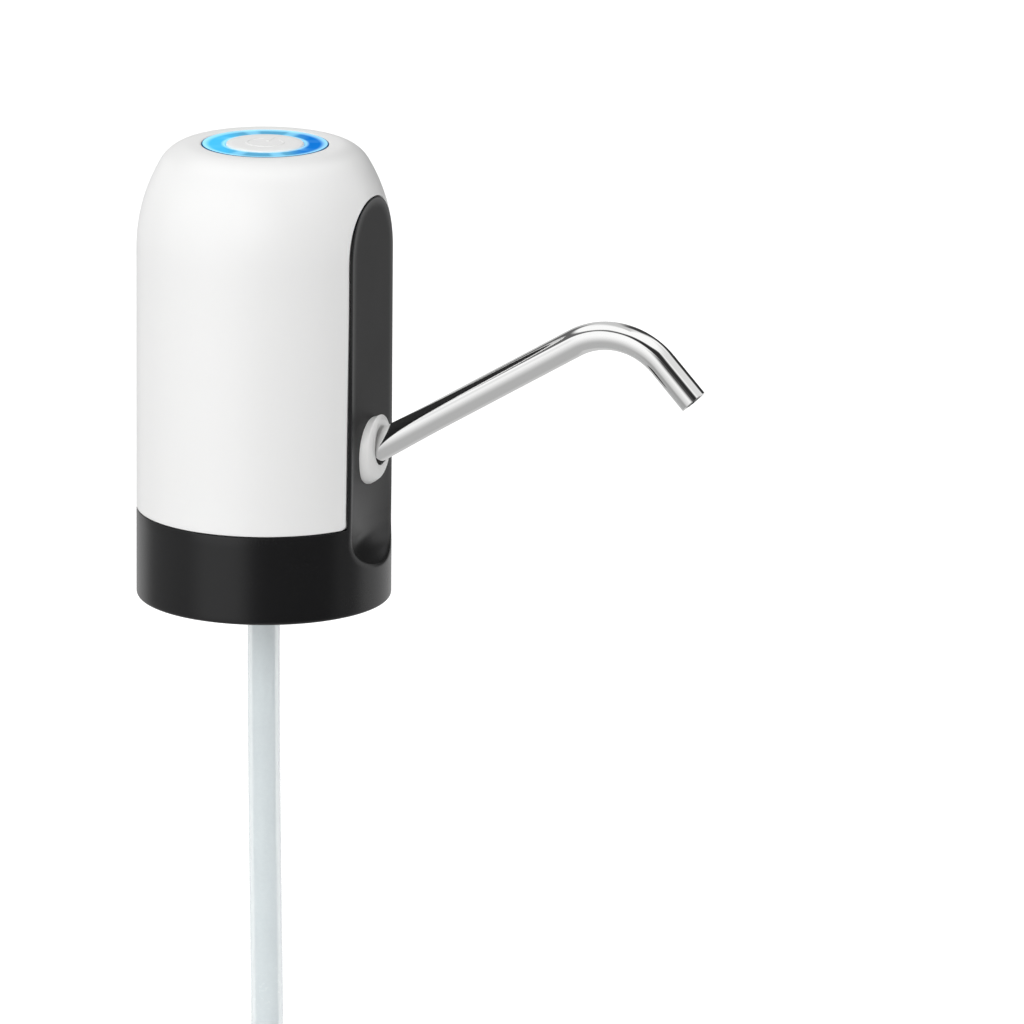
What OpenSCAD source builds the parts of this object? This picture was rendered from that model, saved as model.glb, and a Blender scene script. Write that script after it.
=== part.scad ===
// Electric water jug pump: a domed pump head that sits on a bottle neck, lifts water through a
// hanging hose with a small motor-driven diaphragm pump, and pours it from a swivelling spout.
// The origin is the centre of the neck socket's mouth. +Z is up and +X points to the spout.

/* [Casing] */
// Outside diameter of the casing
body_d = 78; // [76:0.5:90]
// Height from the socket mouth to the crown
body_h = 141; // [138:1:160]
// Wall of the white shell
shell_wall = 2.2; // [1.8:0.1:2.6]
// Height of the dark base band
band_h = 27.5; // [26:0.5:30]
// Wall of the base band
band_wall = 2.4; // [2:0.1:3]
// Thickness of the deck that closes the base
deck_t = 3; // [2.6:0.1:3.6]
// Rounding of the lower edge of the band
band_edge_r = 1.2; // [0.6:0.1:1.8]
// Open seam between the shell and the band
seam = 0.2; // [0.1:0.05:0.4]
// Height of the lip that locates the shell
lip_h = 4; // [2:0.5:5]
// Wall of that lip
lip_t = 1.6; // [1.2:0.1:2]

/* [Dome] */
// Drop from the crown to the start of the shoulder curve
shoulder_drop = 32; // [28:0.5:36]
// Radius of the crown's edge
crown_r = 11; // [9:0.5:12]
// Flat crown left outside the light ring
crown_margin = 3; // [2.4:0.1:3.6]

/* [Spine] */
// Depth of the flat recess at its middle
recess_depth = 3.2; // [2.8:0.1:3.8]
// Step from the recess face back to the cut edge of the shell
rim_step = 0.9; // [0.6:0.1:1.2]
// Thickness of the spine plate
spine_t = 2.8; // [2.4:0.1:3.4]
// Height at which the recess starts to run out
ramp_z = 26.5; // [24:0.5:30]
// Radius of the run-out scoop
ramp_r = 30; // [24:1:36]

/* [Neck socket] */
// Outside diameter of the bottle neck
neck_d = 55; // [52:0.5:56]
// Radial room round the neck
neck_room = 0.5; // [0.3:0.1:0.8]
// Wall of the socket
socket_wall = 2; // [1.8:0.1:2.4]
// Number of ribs between socket and band
rib_count = 16; // [8:4:24]
// Thickness of a rib
rib_t = 1.4; // [1:0.1:2]
// Thickness of the seal that rests on the neck
seal_t = 3; // [2:0.5:4]
// Hole through that seal
seal_hole_d = 40; // [34:1:44]
// Height of the grip ring
grip_h = 5; // [4:0.5:7]
// Depth of the groove that holds the grip ring
grip_groove = 1; // [0.8:0.1:1.2]
// How far the grip ring stands into the socket
grip_bite = 0.8; // [0.4:0.1:1]

/* [Crown controls] */
// Diameter of the light ring
ring_d = 38.6; // [37:0.2:40]
// Width of the light ring
ring_w = 7.1; // [6.8:0.1:7.4]
// Height of the button above the crown
button_proud = 0.3; // [0.1:0.1:0.8]
// Travel of the button
button_travel = 0.8; // [0.4:0.1:0.9]
// Diameter of the control board
board_d = 57; // [54:0.5:60]
// Thickness of the boards
board_t = 1.6; // [1:0.2:2]
// Number of lamps under the light ring
lamp_count = 8; // [4:1:12]
// Height of the tact switch body
tact_h = 3.5; // [3:0.5:4]

/* [Spout] */
// Outside diameter of the spout tube
spout_d = 8.3; // [7.4:0.1:9]
// Wall of the spout tube
spout_wall = 0.6; // [0.4:0.1:1]
// Rise of the spout above the horizontal
spout_rise = 31.2; // [26:0.2:36]
// Straight length from the recess face to the bend
spout_run = 76.2; // [60:0.1:100]
// Radius of the spout's bend
spout_bend_r = 22.8; // [14:0.2:28]
// Angle turned by the bend
spout_turn = 78; // [60:0.1:100]
// Straight length after the bend
spout_tip = 14.7; // [8:0.1:24]
// Diameter of the collar that plugs into the socket
plug_d = 9.8; // [9.6:0.1:12]
// Level distance from the elbow's corner to the recess face
elbow_run = 16; // [14:0.1:17]
// Outside diameter of the grommet round the spout
grommet_d = 22.4; // [20:0.2:24]
// Height of the grommet at its middle
grommet_h = 1.9; // [1.6:0.1:2.4]
// Tilt of the grommet's rim
grommet_tilt = 5.6; // [0:0.2:6]

/* [Pump] */
// Diameter of the pump body
pump_d = 27.2; // [26.4:0.2:28.4]
// Wall of the pump body
pump_wall = 1.8; // [1.4:0.1:2]
// Room between deck and pump cover
pump_lift = 5.4; // [3.6:0.1:6]
// Height of the pump cover
cover_h = 9; // [8.6:0.1:10]
// Thickness of the valve plate
valve_plate_t = 3; // [2.4:0.1:4]
// Thickness of the diaphragm's clamped flange
flange_t = 1; // [0.8:0.1:1.4]
// Height of the crank bracket
bracket_h = 18; // [17.4:0.2:20]
// Distance of the three chambers from the axis
chamber_r = 6.3; // [6:0.1:6.8]
// Outside diameter of a diaphragm cup
cup_d = 8.4; // [7.8:0.1:8.8]
// Tilt of the crank pin
crank_tilt = 6; // [4:0.5:7]

/* [Motor] */
// Diameter of the motor can
motor_d = 24.4; // [23.8:0.2:25.2]
// Length of the motor
motor_l = 31.5; // [30:0.5:36]
// Wall of the motor can
can_wall = 1; // [0.8:0.1:1.2]
// Diameter of the motor shaft
shaft_d = 2; // [1.8:0.1:2.3]
// Thickness of the soft sleeve round the motor
sleeve_t = 1.2; // [1:0.1:1.6]

/* [Battery and charging] */
// Diameter of the battery cell
cell_d = 18.4; // [18:0.1:18.6]
// Length of the battery cell
cell_l = 65; // [60:1:70]
// Room between cell and shell
cell_room = 1.1; // [0.8:0.1:1.6]
// Width of the charging socket
usb_w = 8.9; // [8:0.1:9.4]
// Height of the charging socket
usb_h = 3.3; // [3:0.1:3.4]

/* [Hose] */
// Outside diameter of the suction hose
hose_d = 10; // [9.4:0.1:11]
// Bore of the suction hose
hose_bore = 7; // [6.6:0.1:7.6]

/* [Clearances] */
// Gap at a pressed or bonded fit
press_gap = 0.02; // [0.01:0.01:0.04]
// Gap at a close or running fit
fit_gap = 0.05; // [0.03:0.01:0.08]
// Gap between pieces that slide past each other
slide_gap = 0.3; // [0.25:0.05:0.4]
// Gap along the shell's cut edge
slot_gap = 0.15; // [0.1:0.05:0.3]

/* [Hidden] */
$fn = 96;
bleed = 1;
far = 200;
// Straight and bent lengths of one tube lap by this much, with this small step in radius
lap = 0.2;
lap_step = 0.01;

// Casing and dome
body_r = body_d / 2;
shell_z = band_h + seam;
shell_in_r = body_r - shell_wall;
deck_z = band_h - deck_t;
ring_r = ring_d / 2;
flat_r = ring_r + crown_margin;
crown_under = body_h - shell_wall;
shoulder_z = body_h - shoulder_drop;
crown_c = [flat_r, body_h - crown_r];
crown_in = body_r - flat_r;
// The shoulder is tangent to the upright wall and to the crown's edge
shoulder_r = (crown_r ^ 2 - crown_in ^ 2 - (crown_c.y - shoulder_z) ^ 2) / (2 * (crown_r - crown_in));
shoulder_c = [body_r - shoulder_r, shoulder_z];
tangent_a = atan2(crown_c.y - shoulder_c.y, crown_c.x - shoulder_c.x);
room_steps = 5;

// Spine
face_x = body_r - recess_depth;
window_x = face_x - rim_step;
spine_back_x = face_x - spine_t;
ramp_drop = sqrt(ramp_r ^ 2 - (ramp_r - recess_depth) ^ 2);
spine_foot = 6;

// Neck socket
socket_r = neck_d / 2 + neck_room;
socket_out_r = socket_r + socket_wall;
socket_mouth = 1;
grip_z = 7;
rib_z = 5;

// Screws: shank radius, head radius, head height
case_screw = [1.3, 2.3, 1.6];
small_screw = [1, 1.8, 1.1];
pilot_wall = 1.3;
post_r = case_screw[0] + pilot_wall;
post_at = (socket_out_r + shell_in_r) / 2;
post_h = 16;
post_angles = [45, 135, 225, 315];
case_screw_l = 12;

// Crown stack, worked downwards from the crown
ring_lip = 1.5;
ring_flange = 1.9;
ring_z = crown_under - ring_lip;
ring_in_r = ring_r - ring_w;
button_r = ring_in_r - slide_gap;
button_flange_t = 1.2;
button_flange = 1.7;
button_z = ring_z - slide_gap - button_flange_t;
button_post = 1.6;
button_post_r = 2.25;
plunger_top = button_z - button_post - slide_gap;
plunger_r = 1.75;
tact_w = 6;
tact_floor = 0.4;
plunger_proud = button_travel + 0.5;
plunger_l = plunger_proud + tact_h - tact_floor - button_travel - fit_gap;
board_top = plunger_top - plunger_proud - tact_h;
board_z = board_top - board_t;
board_r = board_d / 2;
board_edge = 3.5;
board_boss_at = board_r - board_edge;
board_boss_r = small_screw[0] + pilot_wall;
board_boss_angles = [60, 180, 300];
board_boss_h = crown_under + shell_wall / 4 - board_top;
board_screw_l = 7;
lamp_size = [2, 2, 1];
skirt_inset = 4.8;
skirt_r = ring_r - skirt_inset;
skirt_t = 2.5;
lamp_at = skirt_r + skirt_t / 2;
symbol_r = 4;
symbol_w = 0.8;
symbol_h = 0.15;
symbol_gap = 50;
chip_at = 22.5;
chip = [6, 6, 1.5];
plug_block = [8, 4, 4];
capacitor = [2, 3];
capacitor_at = [-9, 21];

// Pump stack, worked upwards from the deck
cover_z = band_h + pump_lift;
cover_floor = 2;
plate_z = cover_z + cover_h;
dia_z = plate_z + valve_plate_t;
bracket_z = dia_z + flange_t;
motor_z = bracket_z + bracket_h;
pump_r = pump_d / 2;
pump_in_r = pump_r - pump_wall;
ear_at = pump_r + small_screw[1] + slide_gap / 2;
ear_r = 2.4;
ear_h = 4;
ear_angles = [45, 135, 225, 315];
pump_screw_l = ear_h + valve_plate_t + flange_t + ear_h;
chamber_angles = [0, 120, 240];
cup_r = cup_d / 2;
cup_wall = 0.8;
cup_h = 3.5;
cup_top_h = 1.8;
stem_r = 1.2;
wobble_t = 2;
wobble_edge = 1.7;
wobble_r = chamber_r + stem_r + wobble_edge;
pivot_z = bracket_z + cup_h + cup_top_h + wobble_t / 2 + wobble_r * sin(crank_tilt) + slide_gap;
stem_top = pivot_z + wobble_t;
crank_pin_r = 0.75;
crank_boss_r = 3;
crank_boss_h = 2;
hub_r = 5.6;
hub_z = pivot_z + crank_boss_h + crank_boss_r * sin(crank_tilt) + slide_gap;
bracket_top_t = 1.8;
hub_top = motor_z - bracket_top_t - slide_gap;
pin_grip = 2.2;
pin_top = hub_z + pin_grip;
shaft_low = pin_top + slide_gap;
valve_disc_t = 0.6;
valve_stem_r = 0.75;
inlet_disc_r = 2.6;
inlet_port_r = 0.6;
inlet_port_at = 1.7;
outlet_disc_r = 3.7;
outlet_port_r = 0.5;
outlet_port_at = 3.05;
outlet_room_r = 4;
outlet_room_wall = 1;
nozzle_r = 2.5;
nozzle_bore_r = 1.5;
outlet_drop = 0.2;
outlet_z = plate_z - nozzle_r - outlet_drop;
outlet_room_z = outlet_z - nozzle_r + 2 * outlet_drop;

// Inlet
nipple_r = hose_bore / 2 - fit_gap;
nipple_bore_r = 2.4;
nipple_collar_r = 4.2;
nipple_flange_r = 8;
nipple_flange_t = 1.5;
nipple_low = 4;
spigot_r = 3.9;
spigot_top = cover_z + cover_floor - slide_gap;
inlet_boss_wall = 2.2;
inlet_boss_z = band_h + nipple_flange_t + 2 * slide_gap;
nipple_seal_r = 0.6;
nipple_seal_drop = 0.4;
nipple_seal_z = cover_z - nipple_seal_drop;

// Spout axis, from the pump's outlet through the elbow to the recess face
corner_x = face_x - elbow_run;
spout_z = outlet_z + elbow_run * tan(spout_rise);
spout_r = spout_d / 2;
elbow_bend_r = 9;
elbow_wall = 1.7;
elbow_cut = elbow_bend_r * tan(spout_rise / 2);
nozzle_end = corner_x - elbow_cut - slide_gap;
elbow_s = -elbow_run / cos(spout_rise) + elbow_cut;
elbow_grip = 3.3;
socket_floor_s = elbow_s + elbow_grip + slide_gap;
socket_floor_t = 1.2;
socket_bore_s = socket_floor_s + socket_floor_t;
plug_r = plug_d / 2;
socket_bore_r = plug_r + slide_gap;
socket_tube_wall = 1.6;
socket_tube_r = socket_bore_r + socket_tube_wall;
plug_s = socket_bore_s + slide_gap;
plug_end_s = 1.2;
plug_bore_r = 2.6;
// Reach of the cuts along the spout's axis to each side of the recess face
spout_cut = 20;
seal_r = 0.75;
seal_ring_r = socket_bore_r - fit_gap - seal_r;
seal_first = 1.4;
seal_pitch = 2.8;
seal_s = [plug_s + seal_first, plug_s + seal_first + seal_pitch];
seal_land = 1;
spout_s = seal_s[1] + seal_r + seal_land;
grommet_neck_r = socket_tube_r;
grommet_slope = 0.55;
socket_plate_t = 1.6;
socket_plate_half = 12.5;
socket_plate_z = spout_z - spine_t * tan(spout_rise);
socket_screw_grip = 1.8;
socket_screw_l = socket_plate_t + socket_screw_grip;
socket_screw_at = 10;

// Motor
motor_r = motor_d / 2;
can_in_r = motor_r - can_wall;
shaft_r = shaft_d / 2;
bush_r = 2.5;
cap_t = 2;
cap_plug_t = 2.5;
cap_plug_bore_r = 6;
can_l = motor_l - cap_t;
brush_h = 2;
brush_w = 2.4;
commutator_r = 2.6;
brush_l = sqrt(cap_plug_bore_r ^ 2 - brush_w ^ 2 / 4) - commutator_r - 2 * fit_gap;
core_low = 8;
core_room = 13.5;
core_z = motor_z + core_low;
core_l = can_l - core_room;
core_hub_r = 3.2;
magnet_t = 1.8;
core_r = can_in_r - magnet_t - 2 * slide_gap;
pole_t = 1.8;
pole_span = 96;
tooth_w = 3;
coil_t = 1.7;
coil_l = sqrt((core_r - pole_t) ^ 2 - (tooth_w / 2 + coil_t) ^ 2) - core_hub_r - 2 * slide_gap;
magnet_span = 140;
magnet_low = 2.5;
magnet_extra = 6;
terminal = [2.4, 0.6, 4];
terminal_at = 7.5;
motor_screw_at = 8;

// Inner frame, battery and charging
frame_t = 2;
frame_w = 32;
frame_gap = 1.3;
frame_x = -(ear_at * cos(45) + ear_r + frame_gap);
frame_back_x = frame_x - frame_t;
cell_r = cell_d / 2;
cell_x = -(shell_in_r - cell_room - cell_r);
cell_lift = 11;
cell_z = band_h + cell_lift;
tab_t = 0.4;
tab_w = 7;
cradle_t = 1.7;
cradle_h = 7;
cradle_open = 4;
cradle_inset = 9;
cradle_web = 8;
shelf_t = 2;
shelf_w = 16;
cell_top = cell_z + cell_l;
frame_drop = 3;
frame_top = cell_top - frame_drop;
foot_t = 3;
foot_l = 5;
frame_screw_y = 12;
frame_screw_grip = 2;
frame_screw_l = foot_t + frame_screw_grip;
sleeve_r = motor_r + fit_gap + sleeve_t;
sleeve_h = 14;
sleeve_low = 12;
sleeve_z = motor_z + sleeve_low;
clamp_t = 1.8;
clamp_h = 11;
usb_l = 7.4;
usb_wall = 0.4;
usb_inset = 0.6;
charge_lift = 3.5;
charge_z = band_h + charge_lift;
charge_top = charge_z + board_t;
charge_edge = 2.3;
charge_x = -(shell_in_r - charge_edge);
charge_w = 16;
charge_wing_w = 27;
charge_wing_l = 6;
charge_lap = 0.2;
charge_end_x = frame_back_x - foot_l + charge_lap;
charge_post_r = 2.1;
charge_post_in = 3;
charge_post_x = charge_end_x - charge_post_in;
charge_post_y = 5;
charge_screw_grip = 2.4;
charge_screw_l = board_t + charge_screw_grip;
lead_r = 0.8;
lead_y = 11.8;
lead_in = 1.4;
lead_x = charge_end_x - lead_in;

// Hose route: hangs from the nipple, with a slight bow
hose_sides = 12;
hose_route = [
    [0, 0, 22], [0, 0, 0], [0, 0, -25], [0.2, 0, -50], [0.5, 0, -75], [0.9, 0, -100], [1.3, 0, -125],
    [1.7, 0, -150], [2.1, 0, -175], [2.5, 0, -200], [2.8, 0, -225], [3, 0, -250], [3.1, 0, -275],
    [3.1, 0, -300], [3, 0, -330], [2.8, 0, -358]
];

// Shared shapes

function turn(a) = [cos(a), sin(a)];

// Sliver of a circle between its arc and its chord, from angle a0 to angle a1
module arc_cap(c, r, a0, a1) {
    reach = 1.5 * r / cos((a1 - a0) / 2);
    intersection() {
        translate(c)
            circle(r);
        polygon([c + r * turn(a0), c + reach * turn(a0), c + reach * turn(a1), c + r * turn(a1)]);
    }
}

// Half section of the dome's outside, standing on floor_z
module dome_outline(floor_z) {
    polygon([
        [0, floor_z],
        [body_r, floor_z],
        [body_r, shoulder_z],
        shoulder_c + shoulder_r * turn(tangent_a),
        [flat_r, body_h],
        [0, body_h]
    ]);
    arc_cap(shoulder_c, shoulder_r, 0, tangent_a);
    arc_cap(crown_c, crown_r, tangent_a, 90);
}

// Half section of the room inside the dome, in straight facets
module room_outline(inset, floor_z) {
    polygon([
        [0, floor_z],
        [body_r - inset, floor_z],
        for (i = [0:room_steps - 1])
            shoulder_c + (shoulder_r - inset) * turn(tangent_a * i / room_steps),
        for (i = [0:room_steps])
            crown_c + (crown_r - inset) * turn(tangent_a + (90 - tangent_a) * i / room_steps),
        [0, body_h - inset]
    ]);
}

// Everything beyond the upright plane at x
module beyond_x(x) {
    translate([x, -far / 2, -far / 2])
        cube([far, far, 2 * far]);
}

module tube(r_out, r_in, h) {
    difference() {
        cylinder(r = r_out, h = h);
        translate([0, 0, -bleed])
            cylinder(r = r_in, h = h + 2 * bleed);
    }
}

// Bent tube that starts on the x axis and turns by an angle about z. Straight lengths lap over its ends.
module tube_bend(r_out, r_in, bend_r, angle) {
    rotate_extrude(angle = angle)
        translate([bend_r, 0])
            difference() {
                circle(r_out - lap_step);
                circle(r_in + lap_step);
            }
}

// Screw whose head seats on z = 0 and whose shank points up
module screw(size, length) {
    difference() {
        union() {
            cylinder(r = size[0], h = length);
            translate([0, 0, -size[2]])
                cylinder(r = size[1], h = size[2]);
        }
        translate([0, 0, -size[2] - bleed])
            cylinder(r = size[0], h = bleed + size[2] / 2, $fn = 6);
    }
}

module around(angles, radius) {
    for (a = angles)
        rotate(a)
            translate([radius, 0, 0])
                children();
}

// Places children with their +Z along the spout, from where it leaves the recess face
module along_spout() {
    translate([face_x, 0, spout_z])
        rotate([0, 90 - spout_rise, 0])
            children();
}

// Flat slot outline with round ends, as wide as w and as high as h
module slot_outline(w, h) {
    square([w - h, h], center = true);
    for (side = [-1, 1])
        translate([side * (w - h) / 2, 0])
            intersection() {
                circle(d = h);
                translate([side * h / 2, 0])
                    square([h, h + bleed], center = true);
            }
}

module pump_ears(z, h) {
    translate([0, 0, z])
        around(ear_angles, ear_at)
            cylinder(r = ear_r, h = h);
}

module pump_ear_holes(z, h) {
    translate([0, 0, z - bleed])
        around(ear_angles, ear_at)
            cylinder(r = small_screw[0] + fit_gap, h = h + 2 * bleed);
}

// Placement on the crank pin's tilted axis
module on_crank() {
    translate([0, 0, pivot_z])
        rotate([0, crank_tilt, 0])
            children();
}

// Casing

// Cut that leaves the flat recess and its run-out scoop
module recess_cut() {
    c = [face_x + ramp_r, ramp_z];
    end_a = 180 + asin(ramp_drop / ramp_r);
    out = c + ramp_r * turn(end_a);
    rotate([90, 0, 0])
        linear_extrude(height = 2 * body_r, center = true) {
            polygon([
                [face_x, body_h], [face_x, ramp_z], out, [out.x + body_r, out.y], [out.x + body_r, body_h]
            ]);
            arc_cap(c, ramp_r, 180, end_a);
        }
}

module band() {
    rotate_extrude() {
        translate([body_r - band_wall, 0])
            square([band_wall - band_edge_r, band_h]);
        translate([body_r - band_edge_r, band_edge_r])
            square([band_edge_r, band_h - band_edge_r]);
        polygon([[body_r - band_edge_r, 0], [body_r, band_edge_r], [body_r - band_edge_r, band_edge_r]]);
        arc_cap([body_r - band_edge_r, band_edge_r], band_edge_r, 270, 360);
    }
}

module spine() {
    intersection() {
        rotate_extrude()
            dome_outline(band_h - bleed);
        beyond_x(window_x + slot_gap);
    }
    intersection() {
        rotate_extrude()
            room_outline(shell_wall + slot_gap, band_h - bleed);
        beyond_x(spine_back_x);
    }
    intersection() {
        translate([0, 0, spine_foot])
            cylinder(r = body_r - band_wall / 2, h = band_h - spine_foot);
        beyond_x(spine_back_x);
    }
}

module deck_lip() {
    difference() {
        translate([0, 0, band_h - bleed])
            tube(shell_in_r - slot_gap, shell_in_r - slot_gap - lip_t, lip_h + bleed);
        around(post_angles, post_at)
            translate([-post_r - slide_gap, -post_r - slide_gap, band_h])
                cube([far, 2 * (post_r + slide_gap), lip_h + bleed]);
        translate([-far, -charge_w / 2 - slide_gap, band_h])
            cube([far, charge_w + 2 * slide_gap, lip_h + bleed]);
    }
}

module socket_walls() {
    translate([0, 0, socket_mouth])
        tube(socket_out_r, socket_r, deck_z - socket_mouth + bleed);
    around([for (i = [0:rib_count - 1]) (i + 0.5) * 360 / rib_count], socket_out_r - socket_wall / 2)
        translate([0, -rib_t / 2, rib_z])
            cube([body_r - band_wall / 2 - socket_out_r + socket_wall / 2, rib_t, deck_z - rib_z + bleed]);
}

module charge_posts() {
    for (side = [-1, 1])
        translate([charge_post_x, side * charge_post_y, band_h - bleed])
            cylinder(r = charge_post_r, h = charge_z - band_h + bleed);
}

module base_housing() color("#2b2b2d") {
    difference() {
        union() {
            band();
            translate([0, 0, deck_z])
                cylinder(r = body_r - band_wall / 2, h = deck_t);
            socket_walls();
            deck_lip();
            spine();
            charge_posts();
        }
        recess_cut();
        along_spout()
            cylinder(r = grommet_neck_r + fit_gap, h = 2 * spout_cut, center = true);
        translate([0, 0, deck_z - bleed])
            cylinder(r = nipple_collar_r + fit_gap, h = deck_t + 2 * bleed);
        translate([0, 0, grip_z])
            cylinder(r = socket_r + grip_groove, h = grip_h);
        around(post_angles, post_at) {
            translate([0, 0, deck_z - bleed])
                cylinder(r = case_screw[0] + fit_gap, h = deck_t + 2 * bleed);
            cylinder(r = case_screw[1] + slide_gap, h = deck_z);
        }
        for (side = [-1, 1]) {
            translate([frame_back_x - foot_l / 2, side * frame_screw_y, band_h - frame_screw_l + foot_t])
                cylinder(r = small_screw[0] + fit_gap, h = frame_screw_l);
            translate([charge_post_x, side * charge_post_y, charge_top - charge_screw_l])
                cylinder(r = small_screw[0] + fit_gap, h = charge_screw_l);
        }
        for (y = [-1, 1])
            translate([spine_back_x, y * socket_screw_at, socket_plate_z - socket_screw_at])
                rotate([0, 90, 0])
                    cylinder(r = small_screw[0] + fit_gap, h = 2 * socket_screw_grip, center = true);
    }
}

module shell_posts() {
    around(post_angles, post_at) {
        translate([0, 0, shell_z])
            cylinder(r = post_r, h = post_h);
        translate([0, -post_r / 2, shell_z])
            cube([shell_in_r + shell_wall / 2 - post_at, post_r, post_h]);
    }
}

module board_bosses() {
    translate([0, 0, board_top])
        around(board_boss_angles, board_boss_at)
            cylinder(r = board_boss_r, h = board_boss_h);
}

module shell_dome() color("#f2f2f0") {
    difference() {
        union() {
            difference() {
                rotate_extrude()
                    difference() {
                        dome_outline(shell_z);
                        room_outline(shell_wall, shell_z - bleed);
                    }
                beyond_x(window_x);
            }
            shell_posts();
            board_bosses();
        }
        translate([0, 0, crown_under - bleed])
            cylinder(r = ring_r + fit_gap, h = shell_wall + 2 * bleed);
        translate([-far / 2, 0, charge_top + usb_h / 2])
            rotate([90, 0, 90])
                linear_extrude(height = far / 2 - shell_in_r / 2)
                    slot_outline(usb_w + 2 * slide_gap, usb_h + 2 * slide_gap);
        around(post_angles, post_at)
            translate([0, 0, shell_z - bleed])
                cylinder(r = case_screw[0] + fit_gap, h = case_screw_l - deck_t + bleed);
        translate([0, 0, board_top - bleed])
            around(board_boss_angles, board_boss_at)
                cylinder(r = small_screw[0] + fit_gap, h = board_screw_l - board_t + bleed);
    }
}

module housing_screws() color("silver") {
    around(post_angles, post_at)
        translate([0, 0, deck_z])
            screw(case_screw, case_screw_l);
}

module neck_seal() color("#d8d8d4")
    translate([0, 0, deck_z - seal_t])
        tube(socket_r - grip_bite - slide_gap, seal_hole_d / 2, seal_t);

module neck_grip_ring() color("#c8c8c4")
    translate([0, 0, grip_z + fit_gap])
        difference() {
            tube(socket_r + grip_groove - fit_gap, socket_r - grip_bite, grip_h - 2 * fit_gap);
            translate([0, 0, grip_h / 2])
                rotate_extrude()
                    translate([socket_r - grip_bite, 0])
                        circle(r = grip_bite, $fn = 48);
        }

// Crown controls

module light_ring() color("#39a9ff") {
    difference() {
        union() {
            translate([0, 0, ring_z])
                cylinder(r = ring_r, h = body_h - ring_z);
            translate([0, 0, ring_z])
                cylinder(r = ring_r + ring_flange, h = ring_lip - fit_gap);
        }
        translate([0, 0, ring_z - bleed])
            cylinder(r = ring_in_r, h = far);
    }
    translate([0, 0, board_top + lamp_size.z + slide_gap])
        tube(skirt_r + skirt_t, skirt_r, ring_z - board_top - lamp_size.z - slide_gap);
}

module power_button() color("#f4f4f2") {
    top = body_h + button_proud;
    translate([0, 0, button_z]) {
        difference() {
            union() {
                cylinder(r = button_r, h = top - button_z);
                cylinder(r = button_r + button_flange, h = button_flange_t);
            }
            translate([0, 0, -bleed])
                cylinder(r = button_r - shell_wall, h = top - button_z - shell_wall + bleed);
        }
        translate([0, 0, -button_post])
            cylinder(r = button_post_r, h = top - button_z - shell_wall + button_post + bleed / 2);
    }
    translate([0, 0, top - symbol_h])
        rotate(90 + symbol_gap / 2)
            rotate_extrude(angle = 360 - symbol_gap)
                translate([symbol_r - symbol_w / 2, 0])
                    square([symbol_w, 2 * symbol_h]);
    translate([-symbol_w / 2, symbol_r / 3, top - symbol_h])
        cube([symbol_w, symbol_r, 2 * symbol_h]);
}

module control_board() color("#1f6b3a")
    difference() {
        translate([0, 0, board_z])
            cylinder(r = board_r, h = board_t);
        translate([0, 0, board_z - bleed])
            around(board_boss_angles, board_boss_at)
                cylinder(r = small_screw[0] + fit_gap, h = board_t + 2 * bleed);
    }

module board_parts() color("#202020") {
    translate([-chip.x / 2, -chip_at - chip.y / 2, board_top])
        cube(chip);
    translate([-plug_block.x / 2, chip_at - plug_block.y / 2, board_top])
        cube(plug_block);
    for (side = [-1, 1])
        translate([capacitor_at.x, side * capacitor_at.y, board_top])
            cylinder(r = capacitor[0], h = capacitor[1]);
}

module board_lamps() color("#e8f4ff")
    around([for (i = [0:lamp_count - 1]) (i + 0.5) * 360 / lamp_count], lamp_at)
        translate([-lamp_size.x / 2, -lamp_size.y / 2, board_top])
            cube(lamp_size);

module board_screws() color("silver")
    translate([0, 0, board_z])
        around(board_boss_angles, board_boss_at)
            screw(small_screw, board_screw_l);

module tact_switch() color("#3a3a3a")
    difference() {
        translate([-tact_w / 2, -tact_w / 2, board_top])
            cube([tact_w, tact_w, tact_h]);
        translate([0, 0, board_top + tact_floor])
            cylinder(r = plunger_r + fit_gap, h = tact_h);
    }

module switch_plunger() color("#b03030")
    translate([0, 0, plunger_top - plunger_l])
        cylinder(r = plunger_r, h = plunger_l);

// Charging and battery

module charge_socket() color("silver")
    translate([-shell_in_r - shell_wall + usb_inset, 0, charge_top + usb_h / 2])
        rotate([90, 0, 90])
            difference() {
                linear_extrude(height = usb_l)
                    slot_outline(usb_w, usb_h);
                translate([0, 0, -bleed])
                    linear_extrude(height = usb_l)
                        slot_outline(usb_w - 2 * usb_wall, usb_h - 2 * usb_wall);
            }

module charge_board() color("#1f6b3a")
    difference() {
        translate([0, 0, charge_z])
            linear_extrude(height = board_t) {
                translate([charge_x, -charge_w / 2])
                    square([charge_end_x - charge_x, charge_w]);
                translate([charge_end_x - charge_wing_l, -charge_wing_w / 2])
                    square([charge_wing_l, charge_wing_w]);
            }
        for (side = [-1, 1])
            translate([charge_post_x, side * charge_post_y, charge_z - bleed])
                cylinder(r = small_screw[0] + fit_gap, h = board_t + 2 * bleed);
    }

module charge_board_screws() color("silver")
    for (side = [-1, 1])
        translate([charge_post_x, side * charge_post_y, charge_top])
            mirror([0, 0, 1])
                screw(small_screw, charge_screw_l - slide_gap);

module battery_cell() color("#3c6fb4")
    translate([cell_x, 0, cell_z])
        cylinder(r = cell_r, h = cell_l);

module battery_tabs() color("silver")
    for (z = [cell_z - tab_t, cell_top])
        translate([cell_x - tab_w, -tab_w / 2, z])
            cube([2 * tab_w, tab_w, tab_t]);

module frame_cradle(z) {
    translate([cell_x, -cradle_web / 2, z])
        cube([frame_back_x + frame_t / 2 - cell_x, cradle_web, cradle_h]);
    translate([cell_x, 0, z])
        difference() {
            tube(cell_r + fit_gap + cradle_t, cell_r + fit_gap, cradle_h);
            translate([-far - cradle_open, -far / 2, -bleed])
                cube([far, far, far]);
            translate([frame_back_x + frame_t / 2 - cell_x, -far / 2, -bleed])
                cube([far, far, far]);
        }
}

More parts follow.
